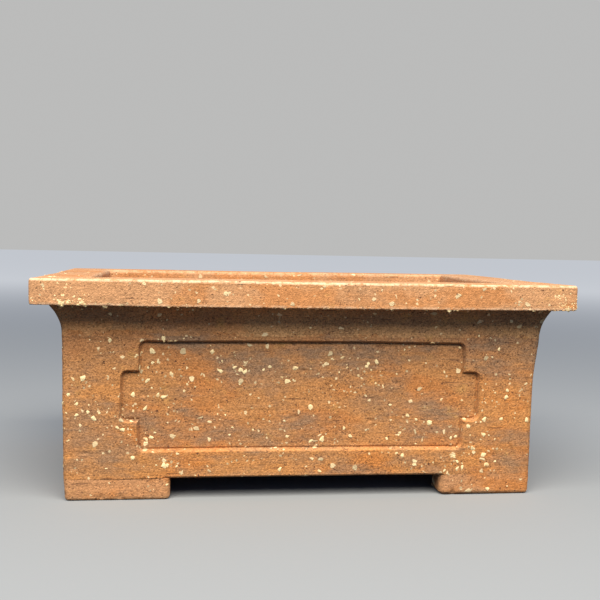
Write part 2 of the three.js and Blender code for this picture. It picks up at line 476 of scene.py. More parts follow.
@dataclass
class Skin:
    """A closed surface made of rings, one after another, each with the same number of points."""

    rings: Array  # ring, point, coordinate
    tone: Array | None = None  # how ashy the kiln has left it, and on the walls just under the lip a painted shade
    wear: Array | None = None  # how rubbed it is, and along the lip's upper edge and mouth a painted highlight
    bare: Array | None = None  # above 0 where the clay is open to the air, and more where more grains show
    cap_share: float = 0.06  # of the map's width, for the two ends
    cap_height: float = 0.48  # of the map's height, for one end
    map_gap: float = 0.01  # between the parts of the map
    hidden_lead: float = 0.001  # how little a hidden face leads the normals

    def __post_init__(self) -> None:
        """Starts plain and open to the air where nothing else is given."""
        shape = self.rings.shape[:2]
        self.tone = np.zeros(shape) if self.tone is None else self.tone
        self.wear = np.zeros(shape) if self.wear is None else self.wear
        self.bare = np.ones(shape) if self.bare is None else np.broadcast_to(self.bare, shape)

    def piece(self, name: str) -> Piece:
        """Makes the skin a closed mesh, with its ends capped and its surface laid out flat.

        Args:
            name: The name of the new piece.

        Returns:
            The new object, at the origin, with its place in its mesh.
        """
        rings, around = self.rings.shape[:2]
        index = np.arange(rings * around).reshape(rings, around)
        after = np.roll(index, -1, axis=1)
        quads = np.stack([index[:-1], after[:-1], after[1:], index[1:]], axis=-1).reshape(-1, 4)
        caps = [index[0][::-1], index[-1]]
        if self.is_inside_out():
            quads = quads[:, ::-1]
            caps = [cap[::-1] for cap in caps]
        corners = np.concatenate([quads.ravel(), *caps])
        counts = np.concatenate([np.full(len(quads), 4), [around, around]])
        mesh = mesh_of(name, self.rings.reshape(-1, 3) * MM, corners, counts)
        mesh.shade_smooth()
        self.lay_out(mesh, quads, caps)
        self.shade(mesh, quads, caps)
        for label, values in (("tone", self.tone), ("wear", self.wear), ("bare", self.bare)):
            lay_on(mesh, label, values)
        return place(name, mesh)

    def shade(self, mesh: bpy.types.Mesh, quads: Array, caps: list[Array]) -> None:
        """Gives the sheet normals that its larger faces lead, and keeps the flat ends out of them.

        Args:
            mesh: The mesh that gets the normals.
            quads: The vertices of each face of the sheet.
            caps: The vertices of each end.
        """
        points = self.rings.reshape(-1, 3)
        first, second, third, fourth = (points[quads[:, i]] for i in range(4))
        faces = np.cross(third - first, fourth - second)
        is_bare = self.bare.reshape(-1)[quads].min(axis=1) > 0
        faces *= np.where(is_bare, 1.0, self.hidden_lead)[:, None]
        leaning = np.zeros_like(points)
        for corner in quads.T:
            leaning += np.stack([np.bincount(corner, part, len(points)) for part in faces.T], axis=1)
        leaning /= np.linalg.norm(leaning, axis=1, keepdims=True)
        ends = []
        for cap in caps:
            ring = points[cap]
            middle = ring.mean(axis=0)
            normal = np.cross(ring - middle, np.roll(ring, -1, axis=0) - middle).sum(axis=0)
            ends.append(np.tile(normal / np.linalg.norm(normal), (len(cap), 1)))
        mesh.normals_split_custom_set(np.concatenate([leaning[quads.ravel()], *ends]).tolist())

    def is_inside_out(self) -> bool:
        """Whether rings in this order would make the surface face inwards.

        Returns:
            True where the faces have to be turned round.
        """
        first, second = self.rings[:-1], self.rings[1:]
        first_on, second_on = np.roll(first, -1, axis=1), np.roll(second, -1, axis=1)
        centre = self.rings.reshape(-1, 3).mean(axis=0)
        swept = np.cross(first_on - first, second_on - first) + np.cross(second_on - first, second - first)
        sides = np.sum(swept * (first - centre))
        ends = 0.0
        for ring, sign in ((self.rings[0], -1), (self.rings[-1], 1)):
            middle = ring.mean(axis=0)
            fan = np.cross(ring - middle, np.roll(ring, -1, axis=0) - middle).sum(axis=0)
            ends += sign * float(fan @ (middle - centre))
        return bool(sides + ends < 0)

    def lay_out(self, mesh: bpy.types.Mesh, quads: Array, caps: list[Array]) -> None:
        """Lays the rings out as one sheet on the surface's map, with the two ends beside it.

        Args:
            mesh: The mesh that gets the map.
            quads: The vertices of each face of the sheet.
            caps: The vertices of each end.
        """
        around = self.rings.shape[1]
        closed = np.concatenate([self.rings, self.rings[:, :1]], axis=1)
        across = np.linalg.norm(np.diff(closed, axis=1), axis=2).mean(axis=0)
        down = np.linalg.norm(np.diff(self.rings, axis=0), axis=2).mean(axis=1)
        v = np.concatenate([[0.0], np.cumsum(across)]) / across.sum()
        u = np.concatenate([[0.0], np.cumsum(down)]) / down.sum()
        row, column = quads // around, quads % around
        wraps = (column.max(axis=1) - column.min(axis=1) > 1)[:, None] & (column == 0)
        sheet_width = 1 - self.cap_share - self.map_gap
        sheet = np.stack([u[row] * sheet_width, v[np.where(wraps, around, column)]], axis=-1).reshape(-1, 2)
        ends = []
        for number, cap in enumerate(caps):
            flat = self.flattened(self.rings.reshape(-1, 3)[cap])
            flat = (flat - flat.min(axis=0)) / np.ptp(flat, axis=0).max()
            size = np.array([self.cap_share, self.cap_height])
            ends.append(flat / flat.max(axis=0) * size + [1 - self.cap_share, 0.5 * number + self.map_gap])
        uv = np.concatenate([sheet, *ends])
        layer = mesh.uv_layers.new(name=BAKE_MAP)
        layer.uv.foreach_set("vector", uv.astype(np.float32).ravel())

    @staticmethod
    def flattened(points: Array) -> Array:
        """Points of a nearly flat ring, in the plane that fits them best.

        Args:
            points: The points in space.

        Returns:
            The same points with two coordinates each.
        """
        centred = points - points.mean(axis=0)
        axes = np.linalg.svd(centred, full_matrices=False)[2]
        return centred @ axes[:2].T


def place(name: str, data: bpy.types.ID) -> Piece:
    """Links a mesh, a lamp or a camera into the scene as an object at the origin.

    Args:
        name: The object's name.
        data: What it holds.

    Returns:
        The object.
    """
    made = bpy.data.objects.new(name, data)
    bpy.context.scene.collection.objects.link(made)
    return made


@dataclass(frozen=True)
class Sweep:
    """One side of a ring around the pot, from the middle of one rounded corner to the next."""

    side: Side
    half_along: float
    half_across: float
    radius_at: Callable[[Array], Array]
    fractions: Array  # of the straight stretch, from -1 to 1
    angles: Array  # around the corner, from minus to plus an eighth of a turn

    @classmethod
    def around(
        cls, pot: Proportions, side: Side, radius_at: Callable[[Array], Array], step: float,
        edges: Iterable[float] = (),
    ) -> "Sweep":
        """Places the stations of a sweep.

        Args:
            pot: The pot's sizes.
            side: The side of the pot.
            radius_at: The corner's plan radius at an inset.
            step: The spacing of the stations.
            edges: Where they are finer, as shares of the half length of the straight stretch.

        Returns:
            The sweep.
        """
        half_along, half_across = pot.halves(side)
        run = half_along - pot.overhang
        middle = graded(-1, 1, step / run, edges, 0.3 * step / run)
        turn = np.linspace(math.pi / 4, 0, CORNER_STEPS + 1)[:-1]
        fractions = np.concatenate([np.full(CORNER_STEPS, -1.0), middle, np.ones(CORNER_STEPS)])
        angles = np.concatenate([-turn, np.zeros(len(middle)), turn[::-1]])
        return cls(side, half_along, half_across, radius_at, fractions, angles)

    def turned(self, vectors: Array) -> Array:
        """Turns what was made at the front to the sweep's own side.

        Args:
            vectors: Places or directions at the front.

        Returns:
            The same on the sweep's side.
        """
        angle = self.side.value * math.pi / 2
        cos, sin = math.cos(angle), math.sin(angle)
        turn = np.array([[cos, -sin, 0], [sin, cos, 0], [0, 0, 1]])
        return vectors @ turn.T

    def run(self, section: Array) -> Array:
        """Carries a section of (inset, height) points to every station.

        Args:
            section: The points, either one section or one for each station.

        Returns:
            The places: station, point, coordinate.
        """
        inset, height = section[..., 0], section[..., 1]
        radius = self.radius_at(inset)
        fraction, angle = self.fractions[:, None], self.angles[:, None]
        along = fraction * (self.half_along - inset - radius) + np.sin(angle) * radius
        across = self.half_across - inset - radius + np.cos(angle) * radius
        shape = np.broadcast_shapes(along.shape, height.shape)
        flat = [np.broadcast_to(part, shape) for part in (along, -across, height)]
        return self.turned(np.stack(flat, axis=-1))

    def outward(self) -> Array:
        """The level direction out of the pot at each station."""
        flat = np.column_stack([np.sin(self.angles), -np.cos(self.angles), np.zeros(len(self.angles))])
        return self.turned(flat)

    def normals(self, section: Array) -> Array:
        """The direction out of the surface at every station.

        Args:
            section: The section's (inset, height) points.

        Returns:
            A direction for each station and point.
        """
        flat = outward_normals(section)
        out = self.outward()[:, None, :] * -flat[None, :, :1]
        return out + UP * flat[None, :, 1:]


def worked(surface: Array, directions: Array, amounts: Array) -> Array:
    """A surface with each place moved along its direction by its amount."""
    return surface + directions * amounts[..., None]


def over(points: Array, measure: Callable[[Array], Array]) -> Array:
    """A measure of places, in the shape that the places are held in."""
    return measure(points.reshape(-1, 3)).reshape(points.shape[:-1])


# ---- shader node groups


Node = bpy.types.Node
Tree = bpy.types.NodeTree
Socket = bpy.types.NodeSocket
Value = Socket | float | tuple[float, ...]


class Graph:
    """A node tree and short ways to fill it."""

    def __init__(self, tree: Tree) -> None:
        """Keeps the tree that nodes are added to."""
        self.tree = tree

    def add(
        self, kind: str, inputs: Mapping[str | int, Value] | None = None, **settings: object
    ) -> Node:
        """Adds a node.

        Args:
            kind: The node's type.
            inputs: Values or links for its inputs.
            settings: Its other properties.

        Returns:
            The node.
        """
        node = self.tree.nodes.new(kind)
        for name, setting in settings.items():
            setattr(node, name, setting)
        for name, value in (inputs or {}).items():
            self.feed(node.inputs[name], value)
        return node

    def feed(self, socket: Socket, value: Value) -> None:
        """Links a socket, or sets it.

        Args:
            socket: The input.
            value: What it gets: an output to link, or a value to set.
        """
        if isinstance(value, Socket):
            self.tree.links.new(value, socket)
        else:
            socket.default_value = value

    def math(self, operation: str, first: Value, second: Value = 0.0, clamp: bool = False) -> Socket:
        """The result of a sum on numbers."""
        node = self.add("ShaderNodeMath", {0: first, 1: second}, operation=operation, use_clamp=clamp)
        return node.outputs[0]

    def vector(self, operation: str, first: Value, second: Value) -> Socket:
        """The result of a sum on vectors."""
        return self.add("ShaderNodeVectorMath", {0: first, 1: second}, operation=operation).outputs[0]

    def cube(self, size: Value) -> Socket:
        """A vector with the same size three times."""
        return self.add("ShaderNodeCombineXYZ", {axis: size for axis in range(3)}).outputs[0]

    def ramp(
        self, value: Value, low: float, high: float, to_low: float = 0.0, to_high: float = 1.0
    ) -> Socket:
        """A smooth rise of a value between two limits."""
        inputs = {0: value, 1: low, 2: high, 3: to_low, 4: to_high}
        return self.add("ShaderNodeMapRange", inputs, interpolation_type="SMOOTHSTEP").outputs[0]

    def blend(self, share: Value, first: Value, second: Value, way: str = "MIX") -> Socket:
        """A blend of two colours.

        Args:
            share: How much of the second colour shows.
            first: The first colour.
            second: The second colour.
            way: How the second is laid on the first.

        Returns:
            The blended colour.
        """
        node = self.add("ShaderNodeMix", data_type="RGBA", blend_type=way)
        for name, value in (("Factor_Float", share), ("A_Color", first), ("B_Color", second)):
            self.feed(next(s for s in node.inputs if s.identifier == name), value)
        return next(s for s in node.outputs if s.identifier == "Result_Color")

    def tint(self, colour: Value, by: Value) -> Socket:
        """A colour multiplied by another, or by a value."""
        return self.blend(1.0, colour, by, "MULTIPLY")

    def cover(self, colour: Value, mask: Value, share: float, by: Value) -> Socket:
        """A colour with another laid over it where a mask says, up to a share."""
        return self.blend(self.math("MULTIPLY", mask, share), colour, by)

    def noise(self, place_at: Value, detail: float = 2.0, roughness: float = 0.5) -> Socket:
        """Smooth noise of a place, with waves about as long as the place's unit."""
        inputs = {"Vector": place_at, "Scale": 1.0, "Detail": detail, "Roughness": roughness}
        return self.add("ShaderNodeTexNoise", inputs).outputs["Fac"]

    def millimetres(self) -> Socket:
        """The place on the piece, in millimetres."""
        where = self.add("ShaderNodeTexCoord").outputs["Object"]
        return self.vector("MULTIPLY", where, (1 / MM, 1 / MM, 1 / MM))

    def use(self, tree: Tree, at: Value, **inputs: Value) -> Node:
        """Places a shared group.

        Args:
            tree: The group.
            at: The place that its pattern follows.
            inputs: Values or links for its other inputs, with _ for a space.

        Returns:
            The group's node.
        """
        node = self.add("ShaderNodeGroup", node_tree=tree)
        self.feed(node.inputs["Place"], at)
        for label, value in inputs.items():
            self.feed(node.inputs[label.replace("_", " ")], value)
        return node

    def fire(self, colour: Socket, roughness: Value, height: Socket, strength: float, depth: float) -> None:
        """Ends a clay's material.

        Args:
            colour: Its colour.
            roughness: Its roughness.
            height: Its relief.
            strength: How much of the relief shows.
            depth: The relief's depth, in millimetres.
        """
        relief = {"Strength": strength, "Distance": depth * MM, "Height": height}
        bump = self.add("ShaderNodeBump", relief).outputs[0]
        inputs = {"Base Color": colour, "Roughness": roughness, "Normal": bump, "Specular IOR Level": SHEEN}
        self.close(self.add("ShaderNodeBsdfPrincipled", inputs).outputs[0])

    def close(self, surface: Socket, kind: str = "ShaderNodeOutputMaterial") -> None:
        """Ends the tree with its output."""
        self.feed(self.add(kind).inputs["Surface"], surface)


def blank_material(name: str) -> tuple[bpy.types.Material, Graph]:
    """Starts a material with an empty node tree.

    Args:
        name: The material's name.

    Returns:
        The material and its graph.
    """
    made = bpy.data.materials.new(name)
    made.use_nodes = True
    made.node_tree.nodes.clear()
    return made, Graph(made.node_tree)


def shader_group(
    name: str, inputs: Mapping[str, Value], outputs: Mapping[str, str]
) -> tuple[Graph, Mapping[str, Socket], Mapping[str, Socket]]:
    """Starts a node group for materials.

    Args:
        name: The group's name.
        inputs: The name of each input and its usual value: a number, a colour, or three numbers.
        outputs: The name of each output and its socket's type.

    Returns:
        The group's graph, what it is given and what it has to make.
    """
    tree = bpy.data.node_groups.new(name, "ShaderNodeTree")
    for label, usual in inputs.items():
        kind = "NodeSocketFloat"
        if isinstance(usual, tuple):
            kind = "NodeSocketColor" if len(usual) == 4 else "NodeSocketVector"
        socket = tree.interface.new_socket(label, in_out="INPUT", socket_type=kind)
        socket.default_value = usual
    for label, kind in outputs.items():
        tree.interface.new_socket(label, in_out="OUTPUT", socket_type=kind)
    graph = Graph(tree)
    return graph, graph.add("NodeGroupInput").outputs, graph.add("NodeGroupOutput").inputs


def chips_group() -> Tree:
    """Angular crumbs in the clay: some of the cells that space is broken into, in patches.

    Returns:
        The group.
    """
    graph, given, made = shader_group(
        "crumbs_in_clay",
        {"Place": (0.0, 0.0, 0.0), "Crumb Size": 1.0, "Share": 0.05, "Patch Size": 12.0, "Patchiness": 0.7},
        {"Mask": "NodeSocketFloat", "Shade": "NodeSocketFloat"},
    )
    cells = graph.vector("DIVIDE", given["Place"], graph.cube(given["Crumb Size"]))
    crumb = graph.add("ShaderNodeTexVoronoi", {"Vector": cells, "Scale": 1.0})
    border = graph.add("ShaderNodeTexVoronoi", {"Vector": cells, "Scale": 1.0}, feature="DISTANCE_TO_EDGE")
    chance = graph.add("ShaderNodeSeparateColor", {0: crumb.outputs["Color"]})
    patches = graph.vector("DIVIDE", given["Place"], graph.cube(given["Patch Size"]))
    patch = graph.noise(patches, 1.0)
    crowd = graph.ramp(patch, 0.4, 0.66, 0.0, 2.6)
    plain = graph.math("SUBTRACT", 1.0, given["Patchiness"])
    crowd = graph.math("ADD", plain, graph.math("MULTIPLY", crowd, given["Patchiness"]))
    chosen = graph.math("LESS_THAN", chance.outputs[0], graph.math("MULTIPLY", given["Share"], crowd))
    inside = graph.ramp(border.outputs["Distance"], 0.03, 0.12)
    graph.feed(made["Mask"], graph.math("MULTIPLY", chosen, inside))
    graph.feed(made["Shade"], chance.outputs[1])
    return graph.tree


def tone_group() -> Tree:
    """The kiln's colours over the clay: rusty and ashy clouds, fainter streaks along the wiping, and the ash
    that is given, which under the wall's lip is painted shade.

    Returns:
        The group.
    """
    usual = (0.4, 0.2, 0.1, 1.0)
    graph, given, made = shader_group(
        "kiln_tones",
        {
            "Place": (0.0, 0.0, 0.0), "Body": usual, "Rust": usual, "Ash": usual, "Ochre": usual,
            "Rustiness": 0.5, "Ashiness": 0.5, "Sunk": 0.0,
        },
        {"Color": "NodeSocketColor"},
    )
    place_at = given["Place"]
    cloud = graph.noise(graph.vector("MULTIPLY", place_at, (0.045, 0.045, 0.075)), 4.0, 0.62)
    rust = graph.math("MULTIPLY", graph.ramp(cloud, 0.45, 0.62), given["Rustiness"])
    shifted = graph.vector("ADD", place_at, (37.0, 11.0, 71.0))
    haze = graph.noise(graph.vector("MULTIPLY", shifted, (0.05, 0.05, 0.11)), 5.0, 0.65)
    streak = graph.noise(graph.vector("MULTIPLY", shifted, (0.09, 0.09, 1.1)), 3.0, 0.6)
    ash = graph.math("ADD", graph.ramp(haze, 0.42, 0.7), graph.ramp(streak, 0.5, 0.8, 0.0, 0.45))
    # More ash where it is given: on the sunk panel, and as painted shade just under the wall's lip.
    ash = graph.math("ADD", ash, graph.math("MULTIPLY", given["Sunk"], 0.2))
    ash = graph.math("MULTIPLY", ash, given["Ashiness"], clamp=True)
    colour = graph.blend(rust, given["Body"], given["Rust"])
    colour = graph.blend(ash, colour, given["Ash"])
    flush = graph.noise(graph.vector("MULTIPLY", shifted, (0.13, 0.13, 0.16)), 4.0, 0.7)
    flush = graph.ramp(flush, 0.57, 0.74, 0.0, 0.5)
    graph.feed(made["Color"], graph.blend(flush, colour, given["Ochre"]))
    return graph.tree


def sand_group() -> Tree:
    """The sand in the clay: every cell a little lighter or darker than the next.

    Returns:
        The group.
    """
    graph, given, made = shader_group(
        "sand_in_clay",
        {"Place": (0.0, 0.0, 0.0), "Grain Size": 0.3, "Contrast": 0.4},
        {"Value": "NodeSocketFloat", "Height": "NodeSocketFloat"},
    )
    cells = graph.vector("DIVIDE", given["Place"], graph.cube(given["Grain Size"]))
    grain = graph.add("ShaderNodeTexVoronoi", {"Vector": cells, "Scale": 1.0})
    chance = graph.add("ShaderNodeSeparateColor", {0: grain.outputs["Color"]}).outputs[0]
    spread = graph.math("MULTIPLY", graph.math("SUBTRACT", chance, 0.5), given["Contrast"])
    blotch = graph.noise(graph.vector("MULTIPLY", given["Place"], (1.6, 1.6, 2.4)), 3.0, 0.75)
    blotch = graph.math("MULTIPLY", graph.math("SUBTRACT", blotch, 0.5), given["Contrast"])
    value = graph.math("ADD", graph.math("ADD", 1.0, spread), graph.math("MULTIPLY", blotch, 2.2))
    domed = graph.math("SUBTRACT", chance, graph.math("MULTIPLY", grain.outputs["Distance"], 1.2))
    graph.feed(made["Value"], value)
    graph.feed(made["Height"], domed)
    return graph.tree


def drag_group() -> Tree:
    """Fine level lines that a damp sponge and coarse clay leave as the wall is wiped.

    Returns:
        The group.
    """
    graph, given, made = shader_group(
        "wiping_lines",
        {"Place": (0.0, 0.0, 0.0), "Spacing": 0.8, "Stretch": 12.0},
        {"Height": "NodeSocketFloat", "Mask": "NodeSocketFloat"},
    )
    wide = graph.math("MULTIPLY", given["Spacing"], given["Stretch"])
    sizes = graph.add("ShaderNodeCombineXYZ", {0: wide, 1: wide, 2: given["Spacing"]}).outputs[0]
    line = graph.noise(graph.vector("DIVIDE", given["Place"], sizes), 2.0, 0.6)
    graph.feed(made["Height"], line)
    graph.feed(made["Mask"], graph.ramp(line, 0.62, 0.78))
    return graph.tree


def wear_and_highlight_group() -> Tree:
    """Where edges are paler: the wear laid on the piece, and along the lip's upper edge and mouth a painted
    highlight, broken up by the sand.

    Returns:
        The group.
    """
    graph, given, made = shader_group(
        "worn_and_lit_edges",
        {"Place": (0.0, 0.0, 0.0), "Wear": 0.0, "Amount": 1.0},
        {"Mask": "NodeSocketFloat"},
    )
    broken = graph.noise(graph.vector("MULTIPLY", given["Place"], (0.6, 0.6, 0.6)), 4.0, 0.7)
    mask = graph.math("MULTIPLY", given["Wear"], graph.ramp(broken, 0.34, 0.62))
    graph.feed(made["Mask"], graph.math("MULTIPLY", mask, given["Amount"], clamp=True))
    return graph.tree


@dataclass(frozen=True)
class ClayGroups:
    """The node groups that all the clays share."""

    crumbs: Tree
    tones: Tree
    sand: Tree
    lines: Tree
    wear: Tree

    @classmethod
    def made(cls) -> "ClayGroups":
        """Builds each group once."""
        return cls(chips_group(), tone_group(), sand_group(), drag_group(), wear_and_highlight_group())


# ---- finishes


@dataclass(frozen=True)
class Clay:
    """The pot's clay as one of its pieces shows it."""

    slot: Slot
    body: Colour = (0.515, 0.213, 0.062, 1.0)
    rust: Colour = (0.530, 0.185, 0.042, 1.0)
    ash: Colour = (0.290, 0.160, 0.084, 1.0)
    ochre: Colour = (0.580, 0.300, 0.085, 1.0)
    cream: Colour = (0.88, 0.66, 0.36, 1.0)
    # The colour of worn edges, which along the lip's upper edge and mouth is a painted highlight.
    pale_wear_and_highlight: Colour = (0.66, 0.38, 0.19, 1.0)
    # The colour of iron specks, and of the painted shade in pits and cracks.
    iron_and_hollow_shade: Colour = (0.115, 0.045, 0.024, 1.0)
    streak: Colour = (0.62, 0.55, 0.5, 1.0)  # what the wiping lines darken the clay by
    rustiness: float = 0.85
    ashiness: float = 0.6
    grog: float = 0.016  # the share of the clay that is pale crumbs
    wiped: float = 1.0
    sandy: float = 0.54
    speckled: float = 0.04  # the share that is dark specks
    pitted: float = 0.004
    cracked: float = 0.006
    crack_scale: Place = (0.24, 2.8, 2.8)  # cracks are long and level, so cells are stretched along one axis

    def material(self, groups: ClayGroups) -> bpy.types.Material:
        """Builds the clay's material.

        Args:
            groups: The shared node groups.

        Returns:
            The material.
        """
        made, graph = blank_material(self.slot.value)
        made.diffuse_color = self.body
        place_at = graph.millimetres()
        # The ash of the sunk panel, and the painted shade just under the wall's lip.
        sunk = graph.add("ShaderNodeAttribute", attribute_name="tone").outputs["Fac"]
        paler_edges = graph.add("ShaderNodeAttribute", attribute_name="wear").outputs["Fac"]

        def crumbs_of(
            share: float, size: float, patch: float, patchiness: float, at: Value = place_at
        ) -> Node:
            """Crumbs of one size, in patches."""
            sizes = {"Share": share, "Crumb_Size": size, "Patch_Size": patch, "Patchiness": patchiness}
            return graph.use(groups.crumbs, at, **sizes)

        tones = graph.use(
            groups.tones, place_at, Body=self.body, Rust=self.rust, Ash=self.ash, Ochre=self.ochre,
            Rustiness=self.rustiness, Ashiness=self.ashiness, Sunk=sunk,
        )
        sand = graph.use(groups.sand, place_at, Grain_Size=0.36, Contrast=self.sandy)
        lines = graph.use(groups.lines, place_at, Spacing=0.75, Stretch=13.0)
        grog = crumbs_of(self.grog, 1.25, 13.0, 0.75)
        crumbs = crumbs_of(self.grog, 0.62, 9.0, 0.6)
        specks = crumbs_of(self.speckled, 0.34, 17.0, 0.7)
        pits = crumbs_of(self.pitted, 0.45, 24.0, 1.0)
        cracks = crumbs_of(self.cracked, 1.0, 5.0, 0.8, graph.vector("MULTIPLY", place_at, self.crack_scale))
        wear = graph.use(groups.wear, place_at, Wear=paler_edges, Amount=0.8)

        colour = graph.tint(tones.outputs["Color"], sand.outputs["Value"])
        # Paler where worn; along the lip's upper edge and mouth this paler colour is a painted highlight.
        colour = graph.blend(wear.outputs["Mask"], colour, self.pale_wear_and_highlight)
        streaked = graph.tint(colour, self.streak)
        colour = graph.cover(colour, lines.outputs["Mask"], 0.3 * self.wiped, streaked)
        colour = graph.cover(colour, specks.outputs["Mask"], 0.6, self.iron_and_hollow_shade)
        dull = graph.tint(self.cream, graph.ramp(crumbs.outputs["Shade"], 0.0, 1.0, 0.6, 1.05))
        colour = graph.cover(colour, crumbs.outputs["Mask"], 0.8, dull)
        bright = graph.tint(self.cream, graph.ramp(grog.outputs["Shade"], 0.0, 1.0, 0.7, 1.1))
        colour = graph.cover(colour, grog.outputs["Mask"], 0.9, bright)
        # Pits and cracks are painted dark with the iron colour: painted shade in their hollows, over their
        # sunk relief.
        faint = graph.math("MULTIPLY", cracks.outputs["Mask"], 0.6)
        opened = graph.math("MAXIMUM", pits.outputs["Mask"], faint)
        colour = graph.cover(colour, opened, 0.85, self.iron_and_hollow_shade)

        height = graph.math("MULTIPLY", sand.outputs["Height"], 0.35)
        height = graph.math("ADD", height, graph.math("MULTIPLY", lines.outputs["Height"], 0.6 * self.wiped))
        height = graph.math("SUBTRACT", height, specks.outputs["Mask"])
        height = graph.math("SUBTRACT", height, opened)
        height = graph.math("ADD", height, graph.math("MULTIPLY", grog.outputs["Mask"], 0.45))
        roughness = graph.ramp(sand.outputs["Value"], 0.7, 1.3, 0.96, 0.78)
        graph.fire(colour, roughness, height, strength=0.8, depth=0.2)
        return made


@dataclass(frozen=True)
class Grog:
    """Pale crushed fired clay, standing a little out of the surface."""

    slot: Slot = Slot.GROG
    cream: Colour = (0.92, 0.71, 0.37, 1.0)
    buff: Colour = (0.72, 0.47, 0.22, 1.0)

    def material(self, groups: ClayGroups) -> bpy.types.Material:
        """Builds the grog's material.

        Args:
            groups: The shared node groups.

        Returns:
            The material.
        """
        made, graph = blank_material(self.slot.value)
        made.diffuse_color = self.cream
        place_at = graph.millimetres()
        sand = graph.use(groups.sand, place_at, Grain_Size=0.25, Contrast=0.2)
        batch = graph.noise(graph.vector("MULTIPLY", place_at, (0.35, 0.35, 0.35)), 2.0)
        colour = graph.blend(graph.ramp(batch, 0.45, 0.7), self.cream, self.buff)
        colour = graph.tint(colour, sand.outputs["Value"])
        graph.fire(colour, 0.85, sand.outputs["Height"], strength=0.4, depth=0.1)
        return made


class Dresser:
    """Gives finished pieces their clay and their body, and hides the solids that they replace."""

    def __init__(self) -> None:
        """Builds the node groups and the clays."""
        groups = ClayGroups.made()
        clays = (
            # The lip's paler edge colour is bright: a painted highlight along its upper edge and mouth, as
            # well as wear.
            Clay(
                Slot.LIP, body=(0.56, 0.275, 0.122, 1.0), pale_wear_and_highlight=(0.86, 0.58, 0.36, 1.0), rustiness=0.6,
                ashiness=0.25, grog=0.022, sandy=0.4, speckled=0.02,
            ),
            Clay(Slot.WALL, ashiness=0.8),
            Clay(Slot.COVE, body=(0.54, 0.28, 0.112, 1.0), rust=(0.57, 0.245, 0.083, 1.0), grog=0.008),
            Clay(Slot.FOOT, body=(0.51, 0.234, 0.096, 1.0), ashiness=0.35, sandy=0.42),
            Clay(Slot.FLOOR, ashiness=0.45, wiped=0.3),
            Clay(Slot.SEAM, ashiness=0.45, wiped=0.2),
        )
        self.materials = {clay.slot: clay.material(groups) for clay in (*clays, Grog())}

    def finish(self, piece: Piece, slot: Slot, *nodes: str) -> Piece:
        """Dresses a piece, hangs it under the pot's body and hides the solids that it replaces.

        Args:
            piece: The finished piece.
            slot: The clay that it is made of.
            nodes: The solids that it replaces.

        Returns:
            The piece.
        """
        piece.data.materials.append(self.materials[slot])
        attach(piece, "root")
        if nodes:
            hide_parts(*nodes)
        log.info("%s: %d faces", piece.name, len(piece.data.polygons))
        return piece


@dataclass
class Maker:
    """Makes one kind of piece."""

    pot: Proportions
    dresser: Dresser
    hands: HandWork = field(default_factory=HandWork)


# ---- walls


